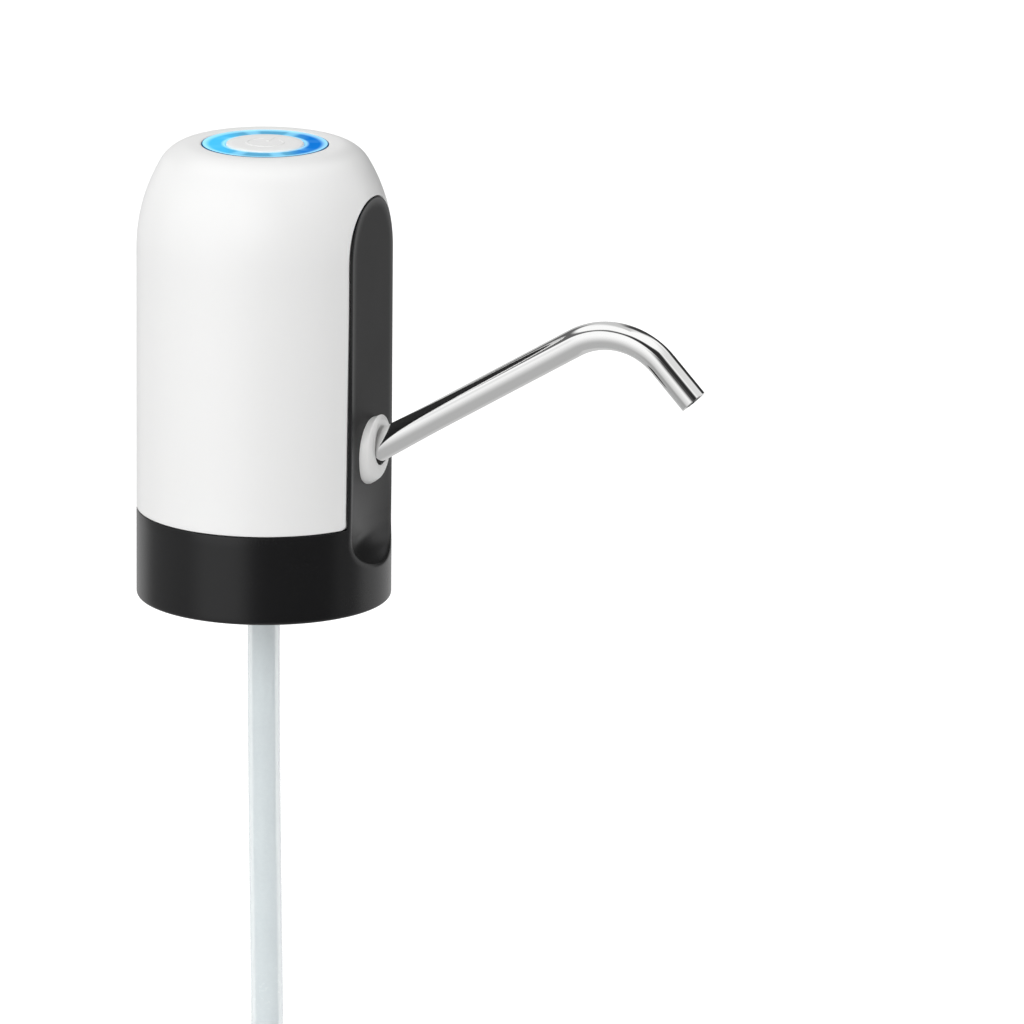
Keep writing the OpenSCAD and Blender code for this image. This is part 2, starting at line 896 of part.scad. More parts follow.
module inner_frame() color("#d9d9d6")
    difference() {
        union() {
            translate([frame_back_x, -frame_w / 2, band_h])
                cube([frame_t, frame_w, frame_top - band_h]);
            translate([frame_back_x - foot_l, -frame_w / 2, band_h])
                cube([foot_l + bleed, frame_w, foot_t]);
            for (z = [cell_z + cradle_inset, cell_top - cradle_inset - cradle_h])
                frame_cradle(z);
            translate([cell_x - cell_r / 2, -shelf_w / 2, cell_z - tab_t - shelf_t])
                cube([frame_x - cell_x + cell_r / 2 - bleed, shelf_w, shelf_t]);
            translate([0, 0, sleeve_z + (sleeve_h - clamp_h) / 2]) {
                cylinder(r = sleeve_r + fit_gap + clamp_t, h = clamp_h);
                translate([frame_back_x, -sleeve_r / 2, 0])
                    cube([-frame_back_x, sleeve_r, clamp_h]);
            }
        }
        translate([0, 0, sleeve_z - bleed])
            cylinder(r = sleeve_r + fit_gap, h = sleeve_h + 2 * bleed);
        translate([cell_x, 0, cell_z - tab_t])
            cylinder(r = cell_r + fit_gap, h = cell_l + 2 * tab_t);
        for (side = [-1, 1])
            translate([frame_back_x - foot_l / 2, side * frame_screw_y, band_h - bleed])
                cylinder(r = small_screw[0] + fit_gap, h = foot_t + 2 * bleed);
    }

module frame_screws() color("silver")
    for (side = [-1, 1])
        translate([frame_back_x - foot_l / 2, side * frame_screw_y, band_h + foot_t])
            mirror([0, 0, 1])
                screw(small_screw, frame_screw_l - slide_gap);

// Motor

module motor_sleeve() color("#4a4a4a")
    translate([0, 0, sleeve_z])
        tube(sleeve_r, motor_r + fit_gap, sleeve_h);

module motor_can() color("#b9bcc0")
    difference() {
        translate([0, 0, motor_z])
            cylinder(r = motor_r, h = can_l);
        translate([0, 0, motor_z + can_wall])
            cylinder(r = can_in_r, h = can_l);
        translate([0, 0, motor_z - bleed])
            cylinder(r = bush_r + fit_gap, h = can_wall + 2 * bleed);
        translate([0, 0, motor_z - bleed])
            around([0, 180], motor_screw_at)
                cylinder(r = small_screw[0] + fit_gap, h = can_wall + 2 * bleed);
    }

module motor_magnets() color("#55565a")
    translate([0, 0, motor_z + can_wall + magnet_low])
        for (a = [90, 270])
            rotate(a - magnet_span / 2)
                rotate_extrude(angle = magnet_span)
                    translate([can_in_r - fit_gap - magnet_t, 0])
                        square([magnet_t, core_l + magnet_extra]);

module motor_end_cap() color("#e0e0dc")
    difference() {
        translate([0, 0, motor_z]) {
            translate([0, 0, can_l])
                cylinder(r = motor_r, h = cap_t);
            translate([0, 0, can_l - cap_plug_t])
                tube(can_in_r - fit_gap, cap_plug_bore_r, cap_plug_t + bleed);
        }
        translate([0, 0, motor_z + can_l - bleed])
            cylinder(r = bush_r + fit_gap, h = cap_t + 2 * bleed);
    }

module motor_brushes() color("#303030")
    for (side = [0, 180])
        rotate(side)
            translate([commutator_r + fit_gap, -brush_w / 2, motor_z + can_l - brush_h - slide_gap])
                cube([brush_l, brush_w, brush_h]);

module motor_terminals() color("#c9a24a")
    for (side = [-1, 1])
        translate([-terminal.x / 2, side * terminal_at - terminal.y / 2, motor_z + motor_l])
            cube(terminal);

module motor_bushes() color("#b08d57") {
    translate([0, 0, motor_z])
        tube(bush_r, shaft_r + fit_gap, bush_r);
    translate([0, 0, motor_z + can_l])
        tube(bush_r, shaft_r + fit_gap, cap_t);
}

module motor_shaft() color("silver")
    translate([0, 0, shaft_low])
        cylinder(r = shaft_r, h = motor_z + motor_l - shaft_low - slide_gap);

module armature_core() color("#8a8d92")
    translate([0, 0, core_z])
        difference() {
            linear_extrude(height = core_l) {
                circle(core_hub_r);
                around(chamber_angles, 0) {
                    translate([core_hub_r / 2, -tooth_w / 2])
                        square([core_r - pole_t / 2 - core_hub_r / 2, tooth_w]);
                    intersection() {
                        difference() {
                            circle(core_r);
                            circle(core_r - pole_t);
                        }
                        polygon([
                            [0, 0], 2 * core_r * turn(-pole_span / 2), [2 * core_r, 0],
                            2 * core_r * turn(pole_span / 2)
                        ]);
                    }
                }
            }
            translate([0, 0, -bleed])
                cylinder(r = shaft_r + press_gap, h = core_l + 2 * bleed);
        }

module armature_coils() color("#b4662d")
    around(chamber_angles, core_hub_r + slide_gap)
        difference() {
            translate([0, -tooth_w / 2 - coil_t, core_z - coil_t])
                cube([coil_l, tooth_w + 2 * coil_t, core_l + 2 * coil_t]);
            translate([-bleed, -tooth_w / 2 - fit_gap, core_z - fit_gap])
                cube([far, tooth_w + 2 * fit_gap, core_l + 2 * fit_gap]);
        }

module commutator() color("#c07a3a")
    translate([0, 0, core_z + core_l])
        tube(commutator_r, shaft_r + press_gap, motor_z + can_l - slide_gap - core_z - core_l);

// Crank and pump

module eccentric_hub() color("#e6e6e2")
    difference() {
        translate([0, 0, hub_z])
            cylinder(r = hub_r, h = hub_top - hub_z);
        on_crank()
            cylinder(r = crank_pin_r + press_gap, h = (pin_top - pivot_z) / cos(crank_tilt));
        translate([0, 0, shaft_low])
            cylinder(r = shaft_r + press_gap, h = far);
    }

module eccentric_pin() color("silver")
    on_crank()
        cylinder(r = crank_pin_r, h = (pin_top - pivot_z) / cos(crank_tilt));

module wobble_plate() color("#dcdcd8")
    on_crank()
        difference() {
            union() {
                translate([0, 0, -wobble_t / 2])
                    cylinder(r = wobble_r, h = wobble_t);
                cylinder(r = crank_boss_r, h = crank_boss_h);
            }
            translate([0, 0, -fit_gap])
                cylinder(r = crank_pin_r + fit_gap, h = far);
            translate([0, 0, -wobble_t])
                around(chamber_angles, chamber_r)
                    cylinder(r = stem_r + slide_gap, h = 2 * wobble_t);
        }

module motor_screws() color("silver")
    translate([0, 0, motor_z - bracket_top_t])
        around([0, 180], motor_screw_at)
            screw(small_screw, bracket_top_t + can_wall - fit_gap);

module pump_bracket() color("#cfcfcb")
    difference() {
        union() {
            translate([0, 0, bracket_z])
                cylinder(r = pump_r, h = bracket_h);
            pump_ears(bracket_z, ear_h + bleed);
        }
        translate([0, 0, bracket_z - bleed])
            cylinder(r = pump_in_r, h = bracket_h - bracket_top_t + bleed);
        translate([0, 0, bracket_z])
            cylinder(r = bush_r + fit_gap, h = bracket_h + bleed);
        translate([0, 0, bracket_z])
            around([0, 180], motor_screw_at)
                cylinder(r = small_screw[0] + fit_gap, h = bracket_h + bleed);
        pump_ear_holes(bracket_z, ear_h);
    }

module diaphragm() color("#e9e4d8")
    difference() {
        union() {
            translate([0, 0, dia_z])
                cylinder(r = pump_r - fit_gap, h = flange_t);
            around(chamber_angles, chamber_r) {
                translate([0, 0, dia_z])
                    cylinder(r = cup_r, h = flange_t + cup_h);
                translate([0, 0, bracket_z + cup_h])
                    cylinder(r1 = cup_r, r2 = stem_r, h = cup_top_h);
                translate([0, 0, bracket_z + cup_h])
                    cylinder(r = stem_r, h = stem_top - bracket_z - cup_h);
            }
        }
        around(chamber_angles, chamber_r) {
            translate([0, 0, dia_z - bleed])
                cylinder(r = cup_r - cup_wall, h = flange_t + bleed + cup_h - cup_wall);
            translate([0, 0, bracket_z + cup_h - cup_wall])
                cylinder(r1 = cup_r - cup_wall, r2 = stem_r, h = cup_top_h);
        }
    }

module valve_plate() color("#d5d5d1")
    difference() {
        union() {
            translate([0, 0, plate_z])
                cylinder(r = pump_r, h = valve_plate_t);
            pump_ears(plate_z, valve_plate_t);
        }
        pump_ear_holes(plate_z, valve_plate_t);
        translate([0, 0, plate_z - bleed]) {
            cylinder(r = valve_stem_r + fit_gap, h = valve_plate_t + 2 * bleed);
            around(chamber_angles, outlet_port_at)
                cylinder(r = outlet_port_r, h = valve_plate_t + 2 * bleed);
            around(chamber_angles, chamber_r) {
                cylinder(r = valve_stem_r + fit_gap, h = valve_plate_t + 2 * bleed);
                around([90, 180, 270, 360], inlet_port_at)
                    cylinder(r = inlet_port_r, h = valve_plate_t + 2 * bleed);
            }
        }
    }

module inlet_valves() color("#3a3a3c")
    around(chamber_angles, chamber_r) {
        translate([0, 0, dia_z])
            cylinder(r = inlet_disc_r, h = valve_disc_t);
        translate([0, 0, plate_z])
            cylinder(r = valve_stem_r, h = valve_plate_t + valve_disc_t);
    }

module outlet_valve() color("#3a3a3c") {
    translate([0, 0, plate_z - valve_disc_t])
        cylinder(r = outlet_disc_r, h = valve_disc_t);
    translate([0, 0, plate_z - valve_disc_t])
        cylinder(r = valve_stem_r, h = valve_plate_t + valve_disc_t);
}

module pump_cover() color("#c4c8ca")
    difference() {
        union() {
            translate([0, 0, cover_z])
                tube(pump_r, pump_in_r, cover_h);
            translate([0, 0, cover_z])
                cylinder(r = pump_in_r + pump_wall / 2, h = cover_floor);
            translate([0, 0, inlet_boss_z])
                cylinder(r = spigot_r + fit_gap + inlet_boss_wall, h = cover_z - inlet_boss_z + bleed);
            pump_ears(plate_z - ear_h, ear_h);
            translate([0, 0, outlet_room_z])
                cylinder(r = outlet_room_r + outlet_room_wall, h = plate_z - outlet_room_z);
            translate([0, 0, outlet_z])
                rotate([0, 90, 0])
                    cylinder(r = nozzle_r, h = nozzle_end);
        }
        translate([0, 0, inlet_boss_z - bleed])
            cylinder(r = spigot_r + fit_gap, h = cover_z + cover_floor - inlet_boss_z + bleed);
        translate([0, 0, outlet_room_z + outlet_room_wall])
            cylinder(r = outlet_room_r, h = far);
        translate([0, 0, outlet_z])
            rotate([0, 90, 0])
                cylinder(r = nozzle_bore_r, h = nozzle_end + bleed);
        pump_ear_holes(plate_z - ear_h, ear_h);
    }

module pump_screws() color("silver")
    translate([0, 0, plate_z - ear_h])
        around(ear_angles, ear_at)
            screw(small_screw, pump_screw_l);

// Water path

module hose_nipple() color("#d8dadb")
    difference() {
        union() {
            translate([0, 0, nipple_low])
                cylinder(r = nipple_r, h = band_h - nipple_low);
            translate([0, 0, deck_z])
                cylinder(r = nipple_collar_r, h = deck_t);
            translate([0, 0, band_h])
                cylinder(r = nipple_flange_r, h = nipple_flange_t);
            translate([0, 0, band_h])
                cylinder(r = spigot_r, h = spigot_top - band_h);
        }
        translate([0, 0, nipple_low - bleed])
            cylinder(r = nipple_bore_r, h = far);
        translate([0, 0, nipple_seal_z - nipple_seal_r - fit_gap])
            tube(far, spigot_r - 2 * nipple_seal_r, 2 * (nipple_seal_r + fit_gap));
    }

module nipple_seal() color("#2a2a2a")
    translate([0, 0, nipple_seal_z])
        rotate_extrude()
            translate([spigot_r - nipple_seal_r + fit_gap / 2, 0])
                circle(r = nipple_seal_r, $fn = 48);

// Silicone elbow from the pump's outlet nozzle to the spout socket
module outlet_elbow() color("#dfe3e4") {
    start = pump_r + slide_gap;
    r_in = nozzle_r + fit_gap;
    r_out = r_in + elbow_wall;
    translate([start, 0, outlet_z])
        rotate([0, 90, 0])
            tube(r_out, r_in, corner_x - elbow_cut - start + lap);
    translate([corner_x - elbow_cut, 0, outlet_z + elbow_bend_r])
        rotate([90, 0, 0])
            rotate(-90)
                tube_bend(r_out, r_in, elbow_bend_r, spout_rise);
    along_spout()
        translate([0, 0, elbow_s - lap])
            tube(r_out, r_in, elbow_grip + lap);
}

module spout_socket() color("#d0d0cc")
    difference() {
        union() {
            intersection() {
                along_spout()
                    translate([0, 0, socket_floor_s])
                        cylinder(r = socket_tube_r, h = spout_cut - socket_floor_s);
                translate([0, -far / 2, 0])
                    cube([spine_back_x, far, far]);
            }
            along_spout()
                translate([0, 0, elbow_s + slide_gap])
                    cylinder(r = nozzle_r, h = elbow_grip + socket_floor_t);
            translate([spine_back_x - socket_plate_t, -socket_plate_half, socket_plate_z - socket_plate_half])
                cube([socket_plate_t, 2 * socket_plate_half, 2 * socket_plate_half]);
        }
        along_spout() {
            translate([0, 0, socket_bore_s])
                cylinder(r = socket_bore_r, h = spout_cut - socket_bore_s);
            translate([0, 0, elbow_s])
                cylinder(r = nozzle_bore_r, h = spout_cut - elbow_s);
        }
        for (y = [-1, 1])
            translate([spine_back_x, y * socket_screw_at, socket_plate_z - socket_screw_at])
                rotate([0, 90, 0])
                    cylinder(r = small_screw[0] + fit_gap, h = 4 * socket_plate_t, center = true);
    }

module socket_screws() color("silver")
    for (y = [-1, 1])
        translate([spine_back_x - socket_plate_t, y * socket_screw_at, socket_plate_z - socket_screw_at])
            rotate([0, 90, 0])
                screw(small_screw, socket_screw_l - slide_gap);

module spout_grommet() color("#ecebe6") {
    base_r = grommet_d / 2;
    cone_h = 3 * grommet_h;
    difference() {
        union() {
            difference() {
                translate([face_x, 0, spout_z])
                    rotate([0, 90, 0])
                        cylinder(r1 = base_r, r2 = base_r - cone_h * grommet_slope, h = cone_h);
                translate([face_x + grommet_h, 0, spout_z])
                    rotate([0, -grommet_tilt, 0])
                        beyond_x(0);
            }
            intersection() {
                along_spout()
                    cylinder(r = grommet_neck_r, h = 2 * spout_cut, center = true);
                translate([spine_back_x, -far / 2, 0])
                    cube([face_x - spine_back_x + grommet_h / 4, far, far]);
            }
        }
        along_spout()
            cylinder(r = socket_bore_r, h = 2 * spout_cut, center = true);
    }
}

module spout_seals() color("#2a2a2a")
    along_spout()
        for (s = seal_s)
            translate([0, 0, s])
                rotate_extrude()
                    translate([seal_ring_r, 0])
                        circle(r = seal_r, $fn = 48);

module spout_plug() color("#2e2e30")
    along_spout()
        difference() {
            translate([0, 0, plug_s])
                cylinder(r = plug_r, h = plug_end_s - plug_s);
            translate([0, 0, plug_s - bleed])
                cylinder(r = plug_bore_r, h = far);
            translate([0, 0, spout_s])
                cylinder(r = spout_r + press_gap, h = far);
            for (s = seal_s)
                translate([0, 0, s - seal_r - fit_gap])
                    tube(far, seal_ring_r - seal_r - fit_gap, 2 * (seal_r + fit_gap));
        }

module spout_tube() color("#c8cacc") {
    end_a = 90 - spout_turn;
    r_in = spout_r - spout_wall;
    translate([face_x, 0, spout_z])
        rotate([0, -spout_rise, 0]) {
            translate([spout_s, 0, 0])
                rotate([0, 90, 0])
                    tube(spout_r, r_in, spout_run - spout_s + lap);
            translate([spout_run, 0, -spout_bend_r])
                rotate([90, 0, 0])
                    rotate(end_a)
                        tube_bend(spout_r, r_in, spout_bend_r, spout_turn);
            translate([spout_run + spout_bend_r * cos(end_a), 0, spout_bend_r * (sin(end_a) - 1)])
                rotate([0, 90 + spout_turn, 0])
                    translate([0, 0, -lap])
                        tube(spout_r, r_in, spout_tip + lap);
        }
}

// Hose swept along its route as one tube with its bore
module suction_hose() color("#dfe6e8") {
    outer = hose_d / 2;
    inner = hose_bore / 2 / cos(180 / hose_sides);
    n = hose_sides;
    rings = len(hose_route);
    points = [
        for (r = [outer, inner])
            for (p = hose_route)
                for (k = [0:n - 1])
                    p + [r * cos(k * 360 / n), r * sin(k * 360 / n), 0]
    ];
    skin = [
        for (i = [0:rings - 2])
            for (k = [0:n - 1])
                let (a = i * n + k, b = i * n + (k + 1) % n)
                    each [[a, b, b + n], [a, b + n, a + n]]
    ];
    bore = [for (f = skin) [f[0] + rings * n, f[2] + rings * n, f[1] + rings * n]];
    last = (rings - 1) * n;
    rims = [
        for (k = [0:n - 1])
            let (a = k, b = (k + 1) % n, c = rings * n)
                each [
                    [a, a + c, b + c], [a, b + c, b],
                    [a + last, b + last + c, a + last + c], [a + last, b + last, b + last + c]
                ]
    ];
    polyhedron(points, concat(skin, bore, rims));
}

// Wiring

module motor_leads() color("#b02a2a")
    for (side = [-1, 1])
        translate([0, side * terminal_at, motor_z + motor_l + terminal.z])
            cylinder(r = lead_r, h = board_z - motor_z - motor_l - terminal.z);

module battery_leads() color("#b02a2a")
    for (side = [-1, 1])
        translate([cell_x, side * tab_w / 2 - side * lead_r, cell_top + tab_t])
            cylinder(r = lead_r, h = board_z - cell_top - tab_t);

module charge_leads() color("#222222")
    for (side = [-1, 1])
        translate([lead_x, side * lead_y, charge_top])
            cylinder(r = lead_r, h = board_z - charge_top);

base_housing();
shell_dome();
light_ring();
power_button();
control_board();
board_parts();
board_lamps();
board_screws();
tact_switch();
switch_plunger();
charge_socket();
charge_board();
charge_board_screws();
battery_cell();
battery_tabs();
inner_frame();
frame_screws();
motor_sleeve();
motor_can();
motor_magnets();
motor_end_cap();
motor_brushes();
motor_terminals();
motor_bushes();
motor_shaft();
armature_core();
armature_coils();
commutator();
eccentric_hub();
eccentric_pin();
wobble_plate();
motor_screws();
pump_bracket();
diaphragm();
valve_plate();
inlet_valves();
outlet_valve();
pump_cover();
pump_screws();
hose_nipple();
nipple_seal();
outlet_elbow();
spout_socket();
socket_screws();
spout_grommet();
spout_seals();
spout_plug();
spout_tube();
neck_seal();
neck_grip_ring();
housing_screws();
suction_hose();
motor_leads();
battery_leads();
charge_leads();
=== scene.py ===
"""Looks of the electric water jug pump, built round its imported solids.

Lengths in the tables and shape functions are millimetres, as in the part's source, and become metres
when a piece is made.
"""
import math

import bmesh
import bpy
from mathutils import Matrix, Vector


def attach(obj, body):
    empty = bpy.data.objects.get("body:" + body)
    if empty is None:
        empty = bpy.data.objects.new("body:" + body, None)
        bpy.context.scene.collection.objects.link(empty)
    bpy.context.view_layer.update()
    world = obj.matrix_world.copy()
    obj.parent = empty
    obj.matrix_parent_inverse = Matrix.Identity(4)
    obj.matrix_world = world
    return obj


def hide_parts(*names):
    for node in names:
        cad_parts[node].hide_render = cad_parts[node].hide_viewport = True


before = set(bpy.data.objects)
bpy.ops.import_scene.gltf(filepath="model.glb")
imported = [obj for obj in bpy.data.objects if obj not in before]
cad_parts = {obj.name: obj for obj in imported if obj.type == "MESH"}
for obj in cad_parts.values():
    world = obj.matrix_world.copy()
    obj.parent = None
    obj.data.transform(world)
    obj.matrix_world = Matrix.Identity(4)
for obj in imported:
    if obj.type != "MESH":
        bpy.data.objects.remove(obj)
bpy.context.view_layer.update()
scene = bpy.context.scene
scene.view_settings.view_transform = "Standard"

MM = 0.001
TAU = 2 * math.pi

# Sizes repeated from the part's source
BODY_R = 39.0
BODY_H = 141.0
BAND_H = 27.5
SHELL_Z = 27.7
SHELL_WALL = 2.2
SHOULDER_Z = 109.0
CROWN_R = 11.0
FLAT_R = 22.3
FACE_X = 35.8
WINDOW_X = 34.9
FLANGE_X = 35.05
SPINE_BACK_X = 33.0
RING_R = 19.3
RING_IN_R = 12.2
BUTTON_R = 11.9
BUTTON_TOP = 141.3
SPOUT_Z = 48.89
SPOUT_RISE = math.radians(31.2)
SPOUT_TURN = math.radians(78)
SPOUT_RUN = 76.2
SPOUT_BEND = 22.8
SPOUT_TIP = 14.7
SPOUT_R = 4.15
SPOUT_IN_R = 3.55
SPOUT_START = -5.14
BORE_R = 5.2
NECK_R = 6.8
HOSE_R = 5.0
HOSE_BORE = 3.5
HOSE_ROUTE = [
    (0, 0, 22), (0, 0, 0), (0, 0, -25), (0.2, 0, -50), (0.5, 0, -75), (0.9, 0, -100), (1.3, 0, -125),
    (1.7, 0, -150), (2.1, 0, -175), (2.5, 0, -200), (2.8, 0, -225), (3, 0, -250), (3.1, 0, -275),
    (3.1, 0, -300), (3, 0, -330), (2.8, 0, -358),
]

# Fine points that the plain solids leave out: lean of the flat, scoop, hollow of the recess, tube's swell
LEAN = 0.42
LEAN_FROM_Z = 95.0
ARCH = 0.66
ARCH_FROM_Z = 113.0
ARCH_Z = 127.7
SCOOP_Z = 24.0
SCOOP_R = 15.6
FACE_DROP = 0.32
FACE_LEAN = 0.25
FACE_STEP = 0.09
DISH = 2.0
DISH_HALF = 15.9
DISH_FROM_Z = 50.0
DISH_FULL_Z = 26.0
SCOOP_DEEPER = 0.085
SPINE_DEEP = 1.5
MATTE_LOW = 0.25
TUBE_SWELL = 0.15
ROOT_SWELL = 0.3
ROOT_LENGTH = 26.0

# Ovals of the spout's collar: half width, half height, middle above the spout's line, height above the flat
COLLAR_FOOT = (10.2, 10.3, -0.3, -0.4)
COLLAR_RIM = (9.2, 9.9, 1.1, 2.1)
COLLAR_CROWN = 2.8
COLLAR_EDGE = 0.3
COLLAR_BULGE = 0.16
COLLAR_SINK = 0.6
NECK_BACK_X = 33.1
NECK_STEP = 0.7

# The spout's own axes, from where its line leaves the flat
SPOUT_ROOT = Vector((FACE_X, 0, SPOUT_Z))
SPOUT_AHEAD = Vector((math.cos(SPOUT_RISE), 0, math.sin(SPOUT_RISE)))
ACROSS = Vector((0, 1, 0))
SPOUT_UP = SPOUT_AHEAD.cross(ACROSS)

# Dome curve: the shoulder arc is tangent to the wall and to the crown's edge
CROWN_C = (FLAT_R, BODY_H - CROWN_R)
CROWN_IN = BODY_R - FLAT_R
SHOULDER_R = (CROWN_R ** 2 - CROWN_IN ** 2 - (CROWN_C[1] - SHOULDER_Z) ** 2) / (2 * (CROWN_R - CROWN_IN))
SHOULDER_C = (BODY_R - SHOULDER_R, SHOULDER_Z)
TANGENT = math.atan2(CROWN_C[1] - SHOULDER_C[1], CROWN_C[0] - SHOULDER_C[0])

# Camera at the photograph's angle
CAM_AZ = math.radians(21.18)
CAM_EL = math.radians(14.51)
CAM_ROLL = math.radians(0.474)
CAM_DISTANCE = 3.429
CAM_LENS = 395.9
CAM_SENSOR = 36
CAM_FAR = 60
CAM_TARGET = Vector((0.07449, 0.01734, 0.02902))
CAM_RIGHT = Vector((math.cos(CAM_AZ), math.sin(CAM_AZ), 0))


def make_camera():
    back = Vector((
        math.sin(CAM_AZ) * math.cos(CAM_EL), -math.cos(CAM_AZ) * math.cos(CAM_EL), math.sin(CAM_EL)
    ))
    up = back.cross(CAM_RIGHT)
    side = CAM_RIGHT * math.cos(CAM_ROLL) + up * math.sin(CAM_ROLL)
    top = up * math.cos(CAM_ROLL) - CAM_RIGHT * math.sin(CAM_ROLL)
    data = bpy.data.cameras.new("camera")
    data.lens = CAM_LENS
    data.sensor_width = CAM_SENSOR
    data.clip_end = CAM_FAR
    camera = bpy.data.objects.new("camera", data)
    camera.matrix_world = Matrix((side, top, back)).transposed().to_4x4()
    camera.matrix_world.translation = CAM_TARGET + back * CAM_DISTANCE
    scene.collection.objects.link(camera)
    scene.camera = camera


make_camera()


# Node helpers

def add_node(tree, kind, inputs=None, **settings):
    made = tree.nodes.new("ShaderNode" + kind)
    for key, value in settings.items():
        setattr(made, key, value)
    for key, value in (inputs or {}).items():
        if isinstance(value, bpy.types.NodeSocket):
            tree.links.new(value, made.inputs[key])
        else:
            made.inputs[key].default_value = value
    return made


def math_node(tree, operation, a, b=0.0):
    return add_node(tree, "Math", {0: a, 1: b}, operation=operation).outputs[0]


def times(tree, a, b):
    return math_node(tree, "MULTIPLY", a, b)


def map_range(tree, value, low, high, to_low=0.0, to_high=1.0, smooth=False):
    kind = "SMOOTHSTEP" if smooth else "LINEAR"
    inputs = {"Value": value, "From Min": low, "From Max": high, "To Min": to_low, "To Max": to_high}
    return add_node(tree, "MapRange", inputs, interpolation_type=kind).outputs["Result"]


def mix_colour(tree, factor, a, b):
    a, b = (c if isinstance(c, bpy.types.NodeSocket) else (*c, 1) for c in (a, b))
    return add_node(tree, "Mix", {0: factor, 6: a, 7: b}, data_type="RGBA").outputs[2]


def mix_value(tree, factor, a, b):
    return add_node(tree, "Mix", {0: factor, 2: a, 3: b}, data_type="FLOAT").outputs[0]


def graph_of(mat):
    """A material's node tree and its surface shader."""
    return mat.node_tree, mat.node_tree.nodes["Principled BSDF"]


def add_bump(tree, shader, height, strength, depth):
    """Relief of a surface, with its depth in millimetres."""
    inputs = {"Height": height, "Strength": strength, "Distance": depth * MM}
    bump = add_node(tree, "Bump", inputs)
    tree.links.new(bump.outputs["Normal"], shader.inputs["Normal"])


def new_material(name, colour, rough, metal=0.0, **sockets):
    mat = bpy.data.materials.new(name)
    mat.use_nodes = True
    _, shader = graph_of(mat)
    sockets.update(Base_Color=(*colour, 1), Roughness=rough, Metallic=metal)
    for key, value in sockets.items():
        shader.inputs[key.replace("_", " ")].default_value = value
    return mat


def noise_at(tree, vector, grain, stretch=(1, 1, 1), detail=3.0):
    """Noise whose grains are about that many millimetres across."""
    scale = [x / (grain * MM) for x in stretch]
    spread = add_node(tree, "VectorMath", {0: vector, 1: scale}, operation="MULTIPLY").outputs[0]
    inputs = {"Vector": spread, "Scale": 1.0, "Detail": detail, "Roughness": 0.55}
    return add_node(tree, "TexNoise", inputs).outputs["Fac"]


# Span of the noise that is stretched over a surface's whole change
NOISE_SPAN = (0.3, 0.7)


def object_coords(tree):
    return add_node(tree, "TexCoord").outputs["Object"]


def finish_surface(mat, colour, rough, grain, tint=0.04, wear=0.05, bump=0.1, depth=0.02, stretch=(1, 1, 1),
                   cloud=18.0, vector=None):
    """Colour, roughness and height that vary with a fine grain and with slow clouds."""
    tree, shader = graph_of(mat)
    vector = vector or object_coords(tree)
    fine = noise_at(tree, vector, grain, stretch)
    slow = noise_at(tree, vector, cloud, detail=2.0)
    dark = tuple(c * (1 - tint) for c in colour)
    light = tuple(min(1.0, c * (1 + tint)) for c in colour)
    both = math_node(tree, "ADD", times(tree, fine, 0.5), times(tree, slow, 0.5))
    shade = mix_colour(tree, map_range(tree, both, *NOISE_SPAN), dark, light)
    tree.links.new(shade, shader.inputs["Base Color"])
    gloss = map_range(tree, both, *NOISE_SPAN, max(0.02, rough - wear), min(1.0, rough + wear))
    tree.links.new(gloss, shader.inputs["Roughness"])
    if bump:
        add_bump(tree, shader, fine, bump, depth)
    return mat


def plain(name, colour, rough, grain, metal=0.0, sockets=None, **finish):
    mat = new_material(name, colour, rough, metal, **(sockets or {}))
    return finish_surface(mat, colour, rough, grain, **finish)


# Materials

WHITE = (0.885, 0.885, 0.88)
BLACK = (0.0105, 0.0105, 0.011)
MATTE_ROUGH = 0.29

# Light ring: its colours, with painted light lighter on the left and darker on the right, painted highlight
# spots, painted edge highlights and a painted shadow at the rim, and the radii between which the painted edge
# highlights and the rim's painted shadow come in
RING_PLAIN = (0.05, 0.32, 0.75)
RING_LIT_LEFT = (0.055, 0.44, 0.76)
RING_MIDDLE = (0.085, 0.31, 0.50)
RING_SHADED_RIGHT = (0.006, 0.15, 0.54)
RING_HIGHLIGHT = (0.30, 0.70, 0.92)
RING_EDGE_HIGHLIGHT = (0.40, 0.79, 0.94)
RING_RIM_SHADOW = (0.006, 0.07, 0.17)
HIGHLIGHT_OUTSIDE_EDGE = (16.5, 18.6)
HIGHLIGHT_INSIDE_EDGE = (13.7, 12.4)
RIM_SHADOW_RADII = (18.85, 19.1)
EDGE_HIGHLIGHT_SHARE = 0.68
# Painted highlight spots: their count, turn and share
HIGHLIGHT_COUNT = 8
HIGHLIGHT_TURN = 0.154
HIGHLIGHT_SHARE = 0.45
RING_GLOW = 0.42


def steel_along(name, colour, rough):
    """Polished tube with fine draw lines along it, by the straightened coordinates stored on the mesh."""
    mat = new_material(name, colour, rough, 1.0)
    tree = mat.node_tree
    lay = add_node(tree, "Attribute", attribute_name="lay").outputs["Vector"]
    return finish_surface(mat, colour, rough, 0.35, tint=0.015, wear=0.03, bump=0.05, depth=0.004,
                          stretch=(1, 1, 0.02), vector=lay)


